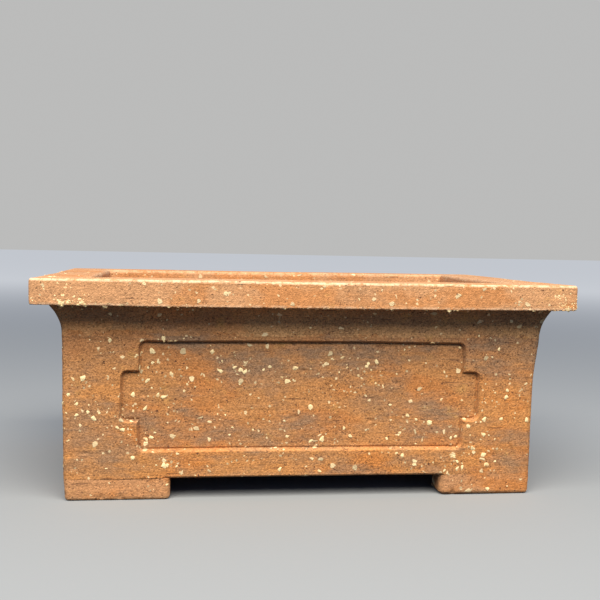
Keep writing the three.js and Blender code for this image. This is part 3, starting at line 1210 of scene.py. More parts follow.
@dataclass
class Walls(Maker):
    """The four leaning wall slabs, each with a sunk panel that has a square step in each corner."""

    step: float = 0.5
    stile: float = 15.6
    top_rail: float = 10.2
    bottom_rail: float = 7.3
    notch_width: float = 4.6
    notch_height: float = 8.3
    panel_depth: float = 1.25
    top_slope: float = 0.75
    bottom_slope: float = 0.8
    left_slope: float = 0.62
    right_slope: float = 0.7
    wander: float = 0.3  # how far the panel's lines stray
    drift_wave: float = 21.0  # the length of their waves, to the sides
    rise_wave: float = 17.0  # and up and down
    free_edge: float = 0.6  # rounding of the lower edge between the feet
    foot_joint: float = 0.22  # the widest gap left where a foot is joined on
    joint_wave: float = 7.0  # how long such a gap runs
    pits: int = 110
    pits_run: float = 66.0  # half of the length that holds that many
    slope_wear: float = 0.3
    edge_wear: float = 0.6  # of the lower edge between the feet
    edge_band: float = 1.2  # how high that wear reaches
    seed: int = 40
    panel_shift: float = -0.9  # of the panel along the side
    panel_round: float = 2.9  # of the panel's inner corners, in widths of its slopes
    cut_depth: float = 0.24  # of the knife's line at the foot of the slopes, as a share of the panel's depth
    cut_width: float = 0.3  # of that line, in widths of the slopes
    under_lip_shade: float = 3.0  # painted shade: how much ashier, greyer and darker the clay is made under the lip, where its shadow falls, next to the panel
    under_lip_shade_from: tuple[float, float] = (30.0, 45.0)
    creep: OutOfTrue = OutOfTrue()

    def panel(self, along: Array, height: Array, half_run: float) -> Array:
        """How far sunk each place is, from 0 on the face to 1 on the panel, with the knife's cut around it.

        Args:
            along: Distances from the middle of the side.
            height: Heights.
            half_run: Half of the wall's length.

        Returns:
            The shares.
        """
        along = along - self.panel_shift
        side = half_run - self.stile
        top = self.pot.lip_underside - self.top_rail
        bottom = self.pot.foot_height + self.bottom_rail

        def sunk(inset: float, lower: float, upper: float) -> Array:
            """The share for one upright rectangle.

            Args:
                inset: How far its ends lie in from the panel's.
                lower: The height of its lower edge.
                upper: The height of its upper edge.

            Returns:
                The shares, over 1 well inside it.
            """
            reach = side - inset
            across = np.minimum((reach + along) / self.left_slope, (reach - along) / self.right_slope)
            upright = np.minimum((height - lower) / self.bottom_slope, (upper - height) / self.top_slope)
            short = (np.maximum(self.panel_round - part, 0) for part in (across, upright))
            return self.panel_round - np.hypot(*short)

        tall = sunk(self.notch_width, bottom, top)
        wide = sunk(0.0, bottom + self.notch_height, top - self.notch_height)
        share = np.maximum(tall, wide)
        cut = np.exp(-(((share - 1.0) / self.cut_width) ** 2)) * self.cut_depth
        return smoothstep(share, 0, 1) + cut

    def panel_edges(self, half_run: float) -> tuple[list[float], list[float]]:
        """Where the panel's slopes lie.

        Args:
            half_run: Half of the wall's length.

        Returns:
            Distances from the middle, and heights.
        """
        side = half_run - self.stile
        top = self.pot.lip_underside - self.top_rail
        bottom = self.pot.foot_height + self.bottom_rail
        half_slope = 0.4
        insets = (half_slope, self.notch_width + half_slope)
        along = [sign * (side - inset) + self.panel_shift for sign in (-1, 1) for inset in insets]
        level = [bottom + self.bottom_slope / 2, bottom + self.notch_height + self.bottom_slope / 2]
        return along, [*level, top - self.notch_height, top]

    def build(self) -> list[Piece]:
        """Builds the four walls."""
        return [self.wall(side) for side in Side]

    def wall(self, side: Side) -> Piece:
        """Builds one wall.

        Args:
            side: The side of the pot.

        Returns:
            The dressed piece.
        """
        pot = self.pot
        half_run = pot.halves(side)[0] - pot.overhang
        straight_run = half_run - pot.wall_corner
        along_edges, level_edges = self.panel_edges(half_run)
        shares = [edge / straight_run for edge in along_edges]
        sweep = Sweep.around(pot, side, pot.wall_radius, self.step, shares)

        levels = graded(pot.foot_height + self.free_edge, pot.cove_foot, self.step, level_edges)
        hidden = np.linspace(pot.cove_foot, pot.lip_underside, 4)[1:]
        heights = np.concatenate([levels, hidden])
        face = np.column_stack([pot.wall_outside(heights), heights])
        inside, top, bottom = pot.wall_inside, pot.lip_underside, pot.foot_height
        edge_start = pot.wall_foot + self.free_edge
        section = joined(
            face,
            straight((pot.overhang, top), (inside, top), 3.0),
            straight((inside, top), (inside, bottom), 1.4),
            straight((inside, bottom), (edge_start, bottom), 3.0),
            quarter_circle(edge_start, bottom + self.free_edge, self.free_edge, 2, 4)[::-1],
        )
        sections = self.with_foot_joints(section, sweep, half_run)
        surface = sweep.run(sections)

        inset, height = section[:, 0], section[:, 1]
        outer = np.isclose(inset, pot.wall_outside(height), atol=1e-6) & (height < pot.cove_foot + 1e-6)
        outer |= (inset < edge_start) & (height < bottom + self.free_edge)
        inner = np.isclose(inset, pot.wall_inside) & (height > pot.floor_top)
        outward = sweep.outward()[:, None, :]

        along = sweep.fractions[:, None] * straight_run + 0 * height
        drift = self.wander * over(surface / self.drift_wave, lambda p: smooth_noise(p, 17))
        rise = self.wander * over(surface / self.rise_wave, lambda p: smooth_noise(p, 19))
        away = np.clip((half_run - 3 - np.abs(along)) / 6, 0, 1)  # 0 at the wall's ends
        away = away * np.clip((height - bottom - 1) / 4, 0, 1)  # and at its lower edge
        sunk = self.panel(along + drift * away, height + rise * away, half_run)

        rng = np.random.default_rng(self.seed + side.value)
        spots = surface[:, outer].reshape(-1, 3)
        pits = Scars.along(rng, spots, round(self.pits * half_run / self.pits_run), (0.35, 1.0), 0.45)
        moves = over(surface, self.hands.height) - sunk * self.panel_depth - over(surface, pits.cut)
        crept = self.creep.creep(surface) * outer[:, None]
        surface = worked(surface, outward, np.where(outer, moves, 0))
        surface = worked(surface, -outward, np.where(inner, over(surface, self.hands.height), 0)) + crept

        slope = np.clip(4 * sunk * (1 - sunk), 0, 1)
        free = np.abs(along) < half_run - (pot.foot_length if side.is_long else pot.foot_depth)
        lower = np.clip(1 - (height - bottom) / self.edge_band, 0, 1) * outer * free
        paler_edges = np.maximum(self.slope_wear * slope * outer, self.edge_wear * lower + 0 * slope)
        # Painted shade: the clay is made ashier, greyer and darker towards the lip, where the lip's shadow
        # falls.
        painted_lip_shade = self.under_lip_shade * smoothstep(height, *self.under_lip_shade_from)
        tone = np.maximum(np.clip(sunk, 0, 1), painted_lip_shade) * outer
        skin = Skin(surface, tone=tone, wear=paler_edges, bare=(outer | inner) + 0.0)
        name = f"{side.label}_wall_slab"
        return self.dresser.finish(skin.piece(name), Slot.WALL, f"{side.label}_wall")

    def with_foot_joints(self, section: Array, sweep: Sweep, half_run: float) -> Array:
        """Sharpens the rounded lower edge where a foot is joined under it.

        Args:
            section: The wall's section.
            sweep: The wall's sweep.
            half_run: Half of the wall's length.

        Returns:
            A section for each station.
        """
        pot = self.pot
        foot = pot.foot_length if sweep.side.is_long else pot.foot_depth
        along = np.abs(sweep.fractions) * (half_run - pot.wall_corner)
        joint = smoothstep(along, half_run - foot - 0.4, half_run - foot + 1.0)[:, None]
        spot = np.full((len(along), 3), sweep.side.value + 0.5)
        spot[:, 0] = sweep.fractions * half_run / self.joint_wave
        opened = smoothstep(smooth_noise(spot, 29), 0.15, 0.9)[:, None]
        crack = self.foot_joint * (0.06 + opened)
        corner = np.array([pot.wall_foot, pot.foot_height])
        rounded = (section[:, 0] <= pot.wall_foot + self.free_edge) & (
            section[:, 1] <= pot.foot_height + self.free_edge
        )
        shrink = 1 - joint * (1 - crack / self.free_edge) * rounded
        return corner + (section - corner) * shrink[..., None]


# ---- cove and lip


@dataclass
class Coves(Maker):
    """The coils that carry the lip, smoothed with a finger into a hollow."""

    step: float = 0.55
    waist: float = 0.8
    grains: float = 0.5  # how many grains show, where a finger has smoothed them in
    creep: OutOfTrue = OutOfTrue()

    def build(self) -> list[Piece]:
        """Builds the four coves."""
        return [self.cove(side) for side in Side]

    def cove(self, side: Side) -> Piece:
        """Builds one cove.

        Args:
            side: The side of the pot.

        Returns:
            The dressed piece.
        """
        pot = self.pot
        sweep = Sweep.around(pot, side, pot.wall_radius, self.step)
        edge = pot.overhang - pot.cove_reach
        drop = pot.lip_underside - pot.cove_foot
        foot = np.array([float(pot.wall_outside(pot.cove_foot)), pot.cove_foot])
        knee = np.array([pot.overhang - 2 * self.waist + pot.cove_reach / 2, pot.lip_underside - drop / 2])
        face = hollow_curve(foot, knee, np.array([edge, pot.lip_underside]), round(drop / self.step) + 2)
        section = joined(
            face,
            straight((edge, pot.lip_underside), (pot.overhang + 1, pot.lip_underside), 1.5),
            straight((pot.overhang + 1, pot.lip_underside), (foot[0] + 1, foot[1]), 2.0),
        )
        shown = np.arange(len(section)) < len(face)
        surface = sweep.run(section)
        moves = np.where(shown, over(surface, self.hands.height), 0)
        crept = self.creep.creep(surface) * shown[:, None]
        surface = worked(surface, sweep.outward()[:, None, :], moves) + crept
        skin = Skin(surface, tone=shown + 0 * surface[..., 0], bare=shown * self.grains)
        name = f"{side.label}_cove_coil"
        return self.dresser.finish(skin.piece(name), Slot.COVE, f"{side.label}_cove")


@dataclass
class Lips(Maker):
    """The flat strips around the mouth, with rounded edges, chips and a slight sag between the corners."""

    hands: HandWork = field(default_factory=lambda: HandWork(bow=(0.16, 34.0), dent=(0.07, 9.0)))
    step: float = 0.5
    plan_corner: float = 1.2
    upper_edge: float = 0.8
    lower_edge: float = 0.5
    inner_edge: float = 1.3
    sag: float = 0.2
    droop: float = 0.5  # of the band's lower edge
    lift: float = 0.35  # of the back right corner
    clearance: float = 0.1  # for grains that stand out of the clay
    top_grains: float = 0.12  # how many grains show on top, where a sponge has gone over them
    band_grains: float = 15.0  # how many show on the upright band, where they were dragged out
    tears: int = 26
    knocks: int = 6  # on the upper edge
    pits: int = 70
    sag_waves: float = 3.1  # in half of a strip's length
    seed: int = 70

    def radius_at(self, inset: Array) -> Array:
        """The plan radius of the lip's corners at each inset."""
        share = inset / self.pot.wall_inside
        return self.plan_corner + (self.pot.inside_corner - self.plan_corner) * share

    def build(self) -> list[Piece]:
        """Builds the four strips."""
        return [self.strip(side) for side in Side]

    def strip(self, side: Side) -> Piece:
        """Builds one strip.

        Args:
            side: The side of the pot.

        Returns:
            The dressed piece.
        """
        pot = self.pot
        sweep = Sweep.around(pot, side, self.radius_at, self.step)
        top, under, inside = pot.height, pot.lip_underside, pot.wall_inside
        section = self.section()
        surface = sweep.run(section)
        normals = sweep.normals(section)
        inset, height = section[:, 0], section[:, 1]
        hidden = (inset > pot.overhang - pot.cove_reach + 1e-6) & (inset < inside - 1e-6)
        shown = ~(np.isclose(height, under) & hidden)
        lower = (inset < self.lower_edge) & (height < under + self.lower_edge + 0.1)
        upper = (inset < self.upper_edge) & (height > top - self.upper_edge)

        rng = np.random.default_rng(self.seed + side.value)
        size = sweep.half_along / pot.half_length
        lowered = 0.0
        for where, count, radii, depth in (
            (lower, self.tears, (0.35, 0.95), 0.5),
            (upper, self.knocks, (0.4, 0.9), 0.4),
            (shown, self.pits, (0.35, 0.85), 0.45),
        ):
            spots = surface[:, where].reshape(-1, 3)
            lowered = lowered + over(surface, Scars.along(rng, spots, round(count * size), radii, depth).cut)
        moves = over(surface, self.hands.height) - 0.3 * self.hands.most - lowered
        surface = worked(surface, normals, np.where(shown, moves, 0))
        surface = self.settled(surface, sweep, inset, height)
        most = np.array([pot.half_length, pot.half_depth, pot.height]) - self.clearance
        surface = np.clip(surface, -most, most)

        mouth = (inset > inside - self.inner_edge) & (height > top - self.inner_edge)
        # The paler colour along the upper edge and the mouth is a painted highlight as well as wear; along
        # the lower edge it is wear.
        edge = np.maximum(upper, 0.6 * lower) + 0.4 * mouth
        wiped = (height > top - self.upper_edge) | (inset > pot.overhang)
        grains = shown * np.where(wiped, self.top_grains, self.band_grains)
        skin = Skin(surface, wear=edge + 0 * surface[..., 0], bare=grains)
        name = f"{side.label}_lip_strip"
        return self.dresser.finish(skin.piece(name), Slot.LIP, f"{side.label}_lip")

    def section(self) -> Array:
        """A strip's section, as (inset, height) points.

        Returns:
            The points of the closed outline.
        """
        pot = self.pot
        top, under, inside = pot.height, pot.lip_underside, pot.wall_inside
        up, low, inner = self.upper_edge, self.lower_edge, self.inner_edge
        outline = joined(
            straight((inside, under), (pot.overhang, under), 2.0),
            straight((pot.overhang, under), (low, under), self.step),
            quarter_circle(low, under + low, low, 2, 4)[::-1],
            straight((0, under + low), (0, top - up), self.step),
            quarter_circle(up, top - up, up, 1, 5)[::-1],
            straight((up, top), (inside - inner, top), self.step),
            quarter_circle(inside - inner, top - inner, inner, 0, 4)[::-1],
            straight((inside, top - inner), (inside, under), self.step),
        )
        return outline[::-1]

    def settled(self, surface: Array, sweep: Sweep, inset: Array, height: Array) -> Array:
        """A strip as it has sagged between its corners, drooped at its edge and lifted at one corner.

        Args:
            surface: The places on the strip.
            sweep: The strip's sweep.
            inset: The inset of each point of its section.
            height: The height of each point of its section.

        Returns:
            The moved places.
        """
        pot = self.pot
        top, under = pot.height, pot.lip_underside
        free = height > under + 0.1
        between = 1 - np.abs(sweep.fractions) ** 2.5
        spots = np.zeros((len(between), 3))
        spots[:, 0] = sweep.fractions * self.sag_waves
        wave = 0.5 + 0.5 * smooth_noise(spots, 23 + sweep.side.value)
        out = np.clip(1 - inset / pot.overhang, 0, 1) ** 0.7
        sunk = self.sag * (between * (0.6 + 0.4 * wave))[:, None] * np.maximum(out, np.where(free, 0.5, 0.0))
        surface = worked(surface, -UP, sunk)
        past_cove = np.clip(1 - inset / (pot.overhang - pot.cove_reach), 0, 1)
        low_down = np.clip((top - height) / (top - under), 0, 1) * past_cove
        surface = worked(surface, -UP, self.droop * low_down + 0 * surface[..., 0])
        rightwards = smoothstep(surface[..., 0], -10.0, pot.half_length)
        backwards = smoothstep(surface[..., 1], -20.0, pot.half_depth)
        return worked(surface, UP, self.lift * (rightwards * backwards) * free)


# ---- feet


@dataclass
class Feet(Maker):
    """The four bracket feet, flush with the walls, with softened lower edges."""

    step: float = 0.5
    width: float = 9.7
    end_radius: float = 1.6
    inner_radius: float = 1.2
    lower_edge: float = 1.25  # less than the plan's radii, so that the sole's outline stays simple
    joint: float = 0.04
    rows: int = 9  # between the lower edge and the joint
    chips: int = 7
    pits: int = 16
    seed: int = 90
    longest: Corner = Corner.FRONT_LEFT
    longer: float = 1.4  # how much longer that foot came out
    creep: OutOfTrue = OutOfTrue()

    def build(self) -> list[Piece]:
        """Builds the four feet."""
        return [self.foot(corner) for corner in Corner]

    def plan(self, corner: Corner) -> Array:
        """A foot's outline with its corners rounded, as it lies at the back right.

        Args:
            corner: The corner of the pot that the foot is for.

        Returns:
            The points of the outline.
        """
        pot = self.pot
        x, y = pot.half_length - pot.wall_foot, pot.half_depth - pot.wall_foot
        far_x, far_y = x - pot.foot_length, y - pot.foot_depth
        far_x -= self.longer if corner is self.longest else 0.0
        r, e, n = float(pot.wall_radius(np.array(pot.wall_foot))), self.end_radius, self.inner_radius
        w, s = self.width, self.step
        hollow = quarter_circle(x - w - n, y - w - n, n, 0, 4)[::-1]
        return joined(
            straight((x, far_y + e), (x, y - r), s),
            quarter_circle(x - r, y - r, r, 0, 6),
            straight((x - r, y), (far_x + e, y), s),
            quarter_circle(far_x + e, y - e, e, 1, 4),
            straight((far_x, y - e), (far_x, y - w + e), s),
            quarter_circle(far_x + e, y - w + e, e, 2, 4),
            straight((far_x + e, y - w), (x - w - n, y - w), s),
            hollow,
            straight((x - w, y - w - n), (x - w, far_y + e), s),
            quarter_circle(x - w + e, far_y + e, e, 2, 4),
            straight((x - w + e, far_y), (x - e, far_y), s),
            quarter_circle(x - e, far_y + e, e, 3, 4),
        )

    def foot(self, corner: Corner) -> Piece:
        """Builds one foot.

        Args:
            corner: The corner of the pot.

        Returns:
            The dressed piece.
        """
        pot = self.pot
        plan = self.plan(corner)
        normals = outward_normals(plan)
        soft = quarter_circle(0, 0, self.lower_edge, 3, 6)
        upright = np.linspace(self.lower_edge + 0.5, pot.foot_height - 0.5, self.rows)
        levels = np.concatenate([
            soft + [-self.lower_edge, self.lower_edge],
            np.column_stack([np.zeros(self.rows), upright]),
            [[0.0, pot.foot_height - self.joint], [-self.joint, pot.foot_height]],
        ])
        rings = []
        for out, level in levels:
            flat = plan + normals * out
            rings.append(np.column_stack([flat, np.full(len(flat), level)]))
        surface = np.array(rings) * [*corner.value, 1]
        sideways = np.column_stack([normals * corner.value, np.zeros(len(normals))])
        lift = smoothstep(surface[..., 2], 0.0, self.lower_edge)
        moves = over(surface, self.hands.height)
        rng = np.random.default_rng(self.seed + list(Corner).index(corner))
        edge, side = surface[4:6].reshape(-1, 3), surface[6:-2].reshape(-1, 3)
        chips = Scars.along(rng, edge, self.chips, (0.5, 1.2), 0.45)
        pits = Scars.along(rng, side, self.pits, (0.35, 0.8), 0.45)
        moves = moves * lift - over(surface, chips.cut) - over(surface, pits.cut)
        surface = worked(surface, sideways[None], moves) + self.creep.creep(surface)
        wear = np.clip(1 - surface[..., 2] / 1.4, 0, 1)
        name = f"{corner.label}_bracket_foot"
        bare = (surface[..., 2] > 0.3) & (surface[..., 2] < pot.foot_height - 0.3)
        skin = Skin(surface, wear=wear, bare=bare + 0.0, cap_share=0.3)
        return self.dresser.finish(skin.piece(name), Slot.FOOT, f"{corner.label}_foot")


# ---- floor and inside seams


class Draft:
    """A mesh in the making, in which faces that meet share their vertices."""

    def __init__(self) -> None:
        """Starts with nothing."""
        self.vertices: list[Place] = []
        self.faces: list[tuple[int, ...]] = []
        self.found: dict[Place, int] = {}

    def vertex(self, spot: Place) -> int:
        """The number of the vertex at a place, which is made when first asked for.

        Args:
            spot: The place.

        Returns:
            The vertex's number.
        """
        key = tuple(round(part, 4) for part in spot)
        if key not in self.found:
            self.found[key] = len(self.vertices)
            self.vertices.append(spot)
        return self.found[key]

    def face(self, *corners: Place) -> None:
        """Adds a face."""
        self.faces.append(tuple(self.vertex(corner) for corner in corners))


def border(columns: list[float], rows: list[float]) -> list[tuple[float, float]]:
    """The places around the border of a grid, from its first corner on."""
    there = [(x, rows[0]) for x in columns[:-1]] + [(columns[-1], y) for y in rows[:-1]]
    return there + [(x, rows[-1]) for x in columns[:0:-1]] + [(columns[0], y) for y in rows[:0:-1]]


@dataclass
class Floor(Maker):
    """The floor slab, with two drain holes punched through and their edges softened."""

    hands: HandWork = field(default_factory=lambda: HandWork(bow=(0.25, 30.0), dent=(0.16, 7.0)))
    step: float = 1.0
    drain_radius: float = 7.5
    drain_spacing: float = 70.0
    block: int = 14  # half of the square around a drain hole, in steps
    hole_rings: int = 12
    edge: float = 1.0

    def build(self) -> list[Piece]:
        """Builds the floor.

        Returns:
            The dressed piece, in a list.
        """
        pot = self.pot
        inside = Vector((pot.half_length - pot.wall_inside, pot.half_depth - pot.wall_inside, 0))
        draft = self.drafted(inside)
        points = np.array(draft.vertices)
        flat = np.where(points[:, 2] > (pot.floor_top + pot.foot_height) / 2, 1.0, -1.0)
        rim = np.minimum(inside.x - np.abs(points[:, 0]), inside.y - np.abs(points[:, 1]))
        middle = (pot.floor_top + pot.foot_height) / 2
        depth = np.abs(points[:, 2] - middle) / (pot.floor_top - middle)
        moves = self.hands.height(points) * np.clip(rim / 2, 0, 1) * flat * depth
        points[:, 2] += np.where(flat > 0, moves, np.maximum(moves, -0.2))
        mesh = bpy.data.meshes.new("drained_floor")
        mesh.from_pydata((points * MM).tolist(), [], draft.faces)
        mesh.shade_smooth()
        mesh.set_sharp_from_angle(angle=math.radians(60))
        self.lay_out(mesh, flat, inside)
        lay_on(mesh, "bare", rim > 1)
        mesh.validate()
        piece = place("drained_floor", mesh)
        return [self.dresser.finish(piece, Slot.FLOOR, "floor_slab")]

    def drafted(self, inside: Vector) -> Draft:
        """The floor's faces, before hands have worked it.

        Args:
            inside: Half of the room between the walls.

        Returns:
            The draft of the closed slab.
        """
        pot = self.pot
        draft = Draft()
        centres = [(-self.drain_spacing / 2, 0.0), (self.drain_spacing / 2, 0.0)]
        half = self.block * self.step
        columns = self.lines(inside.x, [x + sign * half for x, _ in centres for sign in (-1, 1)])
        rows = self.lines(inside.y, [-half, half])

        for level, turn in ((pot.floor_top, 1), (pot.foot_height, -1)):
            for x0, x1 in itertools.pairwise(columns):
                for y0, y1 in itertools.pairwise(rows):
                    middle_x, middle_y = (x0 + x1) / 2, (y0 + y1) / 2
                    if not any(abs(middle_x - x) < half and abs(middle_y - y) < half for x, y in centres):
                        corners = ((x0, y0), (x1, y0), (x1, y1), (x0, y1))
                        draft.face(*((x, y, level) for x, y in corners[::turn]))
        for centre in centres:
            near_columns = [x for x in columns if abs(x - centre[0]) <= half + 1e-6]
            near_rows = [y for y in rows if abs(y) <= half + 1e-6]
            self.drain(draft, centre, border(near_columns, near_rows))
        walk = border(columns, rows)
        low, high = pot.foot_height, pot.floor_top
        for (x0, y0), (x1, y1) in itertools.pairwise([*walk, walk[0]]):
            draft.face((x0, y0, low), (x1, y1, low), (x1, y1, high), (x0, y0, high))
        return draft

    def lines(self, reach: float, through: list[float]) -> list[float]:
        """Grid lines about a step apart.

        Args:
            reach: The last line, and the first on the other side of the middle.
            through: Places that have to have a line.

        Returns:
            The lines, in order.
        """
        stops = [-reach, *sorted(through), reach]
        lines = [stops[0]]
        for start, end in itertools.pairwise(stops):
            count = max(1, round((end - start) / self.step))
            lines += [start + (end - start) * i / count for i in range(1, count + 1)]
        return lines

    def drain(self, draft: Draft, centre: tuple[float, float], square: list[tuple[float, float]]) -> None:
        """Fills the square around a drain hole, above and below, and lines the hole.

        Args:
            draft: The floor, which gets the faces.
            centre: The middle of the hole.
            square: The places around the square's border.
        """
        rings: list[list[int]] = []
        for share, radius, level in self.hole_profile():
            ring = []
            for x, y in square:
                dx, dy = x - centre[0], y - centre[1]
                distance = math.hypot(dx, dy)
                scale = (distance + (radius - distance) * share) / distance
                ring.append(draft.vertex((centre[0] + dx * scale, centre[1] + dy * scale, level)))
            rings.append(ring)
        for first, second in itertools.pairwise(rings):
            for i, start in enumerate(first):
                j = (i + 1) % len(first)
                draft.faces.append((start, first[j], second[j], second[i]))

    def hole_profile(self) -> list[tuple[float, float, float]]:
        """The rings from the square above a hole, over its edge and down it, to the square below.

        Returns:
            For each ring the share of the way from the square to a circle, the circle's radius and the level.
        """
        pot = self.pot
        edge = self.drain_radius + self.edge
        above = [(float(share), edge, pot.floor_top) for share in np.linspace(0, 1, self.hole_rings + 1)]
        turn = quarter_circle(edge, pot.floor_top - self.edge, self.edge, 1, 5)[1:]
        above += [(1.0, float(radius), float(level)) for radius, level in turn]
        lowest, highest = pot.foot_height + self.edge, pot.floor_top - self.edge
        sides = [(1.0, self.drain_radius, float(z)) for z in np.linspace(highest, lowest, 5)[1:-1]]
        below = [(share, radius, pot.floor_top + pot.foot_height - z) for share, radius, z in above[::-1]]
        return [*above, *sides, *below]

    def lay_out(self, mesh: bpy.types.Mesh, flat: Array, inside: Vector) -> None:
        """Lays the upper and the lower face side by side on the surface's map.

        Args:
            mesh: The mesh that gets the map.
            flat: 1 for each vertex of the upper face and -1 for each of the lower.
            inside: Half of the room between the walls.
        """
        vertex = read(mesh.loops, "vertex_index", kind=np.int32)
        points = read(mesh.vertices, "co", 3).reshape(-1, 3)[vertex] / MM
        u = (points[:, 0] + inside.x) / (2 * inside.x)
        v = (points[:, 1] + inside.y) / (2 * inside.y) * 0.49 + np.where(flat[vertex] > 0, 0.0, 0.5)
        layer = mesh.uv_layers.new(name=BAKE_MAP)
        layer.uv.foreach_set("vector", np.column_stack([u, v]).astype(np.float32).ravel())


@dataclass
class Seams(Maker):
    """The coils pressed into the inside seams with a finger: four along the floor and four upright."""

    hands: HandWork = field(default_factory=lambda: HandWork(bow=(0.2, 20.0), dent=(0.22, 6.0)))
    step: float = 0.8
    belly: float = 1.0
    bedded: float = 0.6  # how far the coil's thin edges lie under the faces that it is pressed into
    press: float = 0.2  # depth of the finger marks
    press_spacing: float = 11.0

    def build(self) -> list[Piece]:
        """Builds the eight coils."""
        return [*(self.floor_seam(side) for side in Side), *(self.corner_seam(corner) for corner in Corner)]

    def face(self) -> Array:
        """The hollow face of a coil between two faces that lie on the axes."""
        reach, under = self.pot.coil_reach + self.bedded, -self.bedded
        return hollow_curve(np.array([reach, under]), np.full(2, self.belly), np.array([under, reach]), 12)

    def pressed(self, surface: Array, along: Array) -> Array:
        """How far each place stands out once a finger has gone along the coil."""
        marks = self.press * np.sin(along * 2 * math.pi / self.press_spacing)
        return over(surface, self.hands.height) + marks

    def floor_seam(self, side: Side) -> Piece:
        """Builds the coil between the floor and one wall.

        Args:
            side: The side of the pot.

        Returns:
            The dressed piece.
        """
        pot = self.pot
        sweep = Sweep.around(pot, side, lambda inset: 0 * inset + pot.inside_corner, self.step)
        heel = np.array([pot.wall_inside, pot.floor_top])
        section = joined(heel[None] - self.bedded, heel + self.face())
        surface = sweep.run(section)
        normals = sweep.normals(section)
        away = np.cos(2 * sweep.angles)[:, None]  # 0 at the mitres
        moves = self.pressed(surface, (sweep.fractions * sweep.half_along)[:, None]) * away
        shown = np.arange(len(section)) > 0
        surface = worked(surface, normals, np.where(shown, moves, 0))
        name = f"{side.label}_floor_coil"
        skin = Skin(surface, bare=shown + 0.0)
        return self.dresser.finish(skin.piece(name), Slot.SEAM, f"{side.label}_floor_seam")

    def corner_seam(self, corner: Corner) -> Piece:
        """Builds the upright coil in one inside corner.

        Args:
            corner: The corner of the pot.

        Returns:
            The dressed piece.
        """
        pot = self.pot
        x, y = pot.half_length - pot.wall_inside, pot.half_depth - pot.wall_inside
        plan = joined(np.full((1, 2), -self.bedded), self.face())
        heights = graded(pot.floor_top - self.bedded, pot.lip_underside, self.step)
        flat = outward_normals(plan)
        sign = np.array(corner.value)
        rings = []
        for height in heights:
            spot = (np.array([x, y]) - plan) * sign
            rings.append(np.column_stack([spot, np.full(len(spot), height)]))
        surface = np.array(rings)
        sideways = np.column_stack([-flat * sign, np.zeros(len(flat))])
        moves = self.pressed(surface, heights[:, None])
        shown = np.arange(len(plan)) > 0
        surface = worked(surface, sideways[None], np.where(shown, moves, 0))
        name = f"{corner.label}_corner_coil"
        skin = Skin(surface, bare=shown + 0.0)
        return self.dresser.finish(skin.piece(name), Slot.SEAM, f"{corner.label}_corner_seam")


# ---- grog at the surface


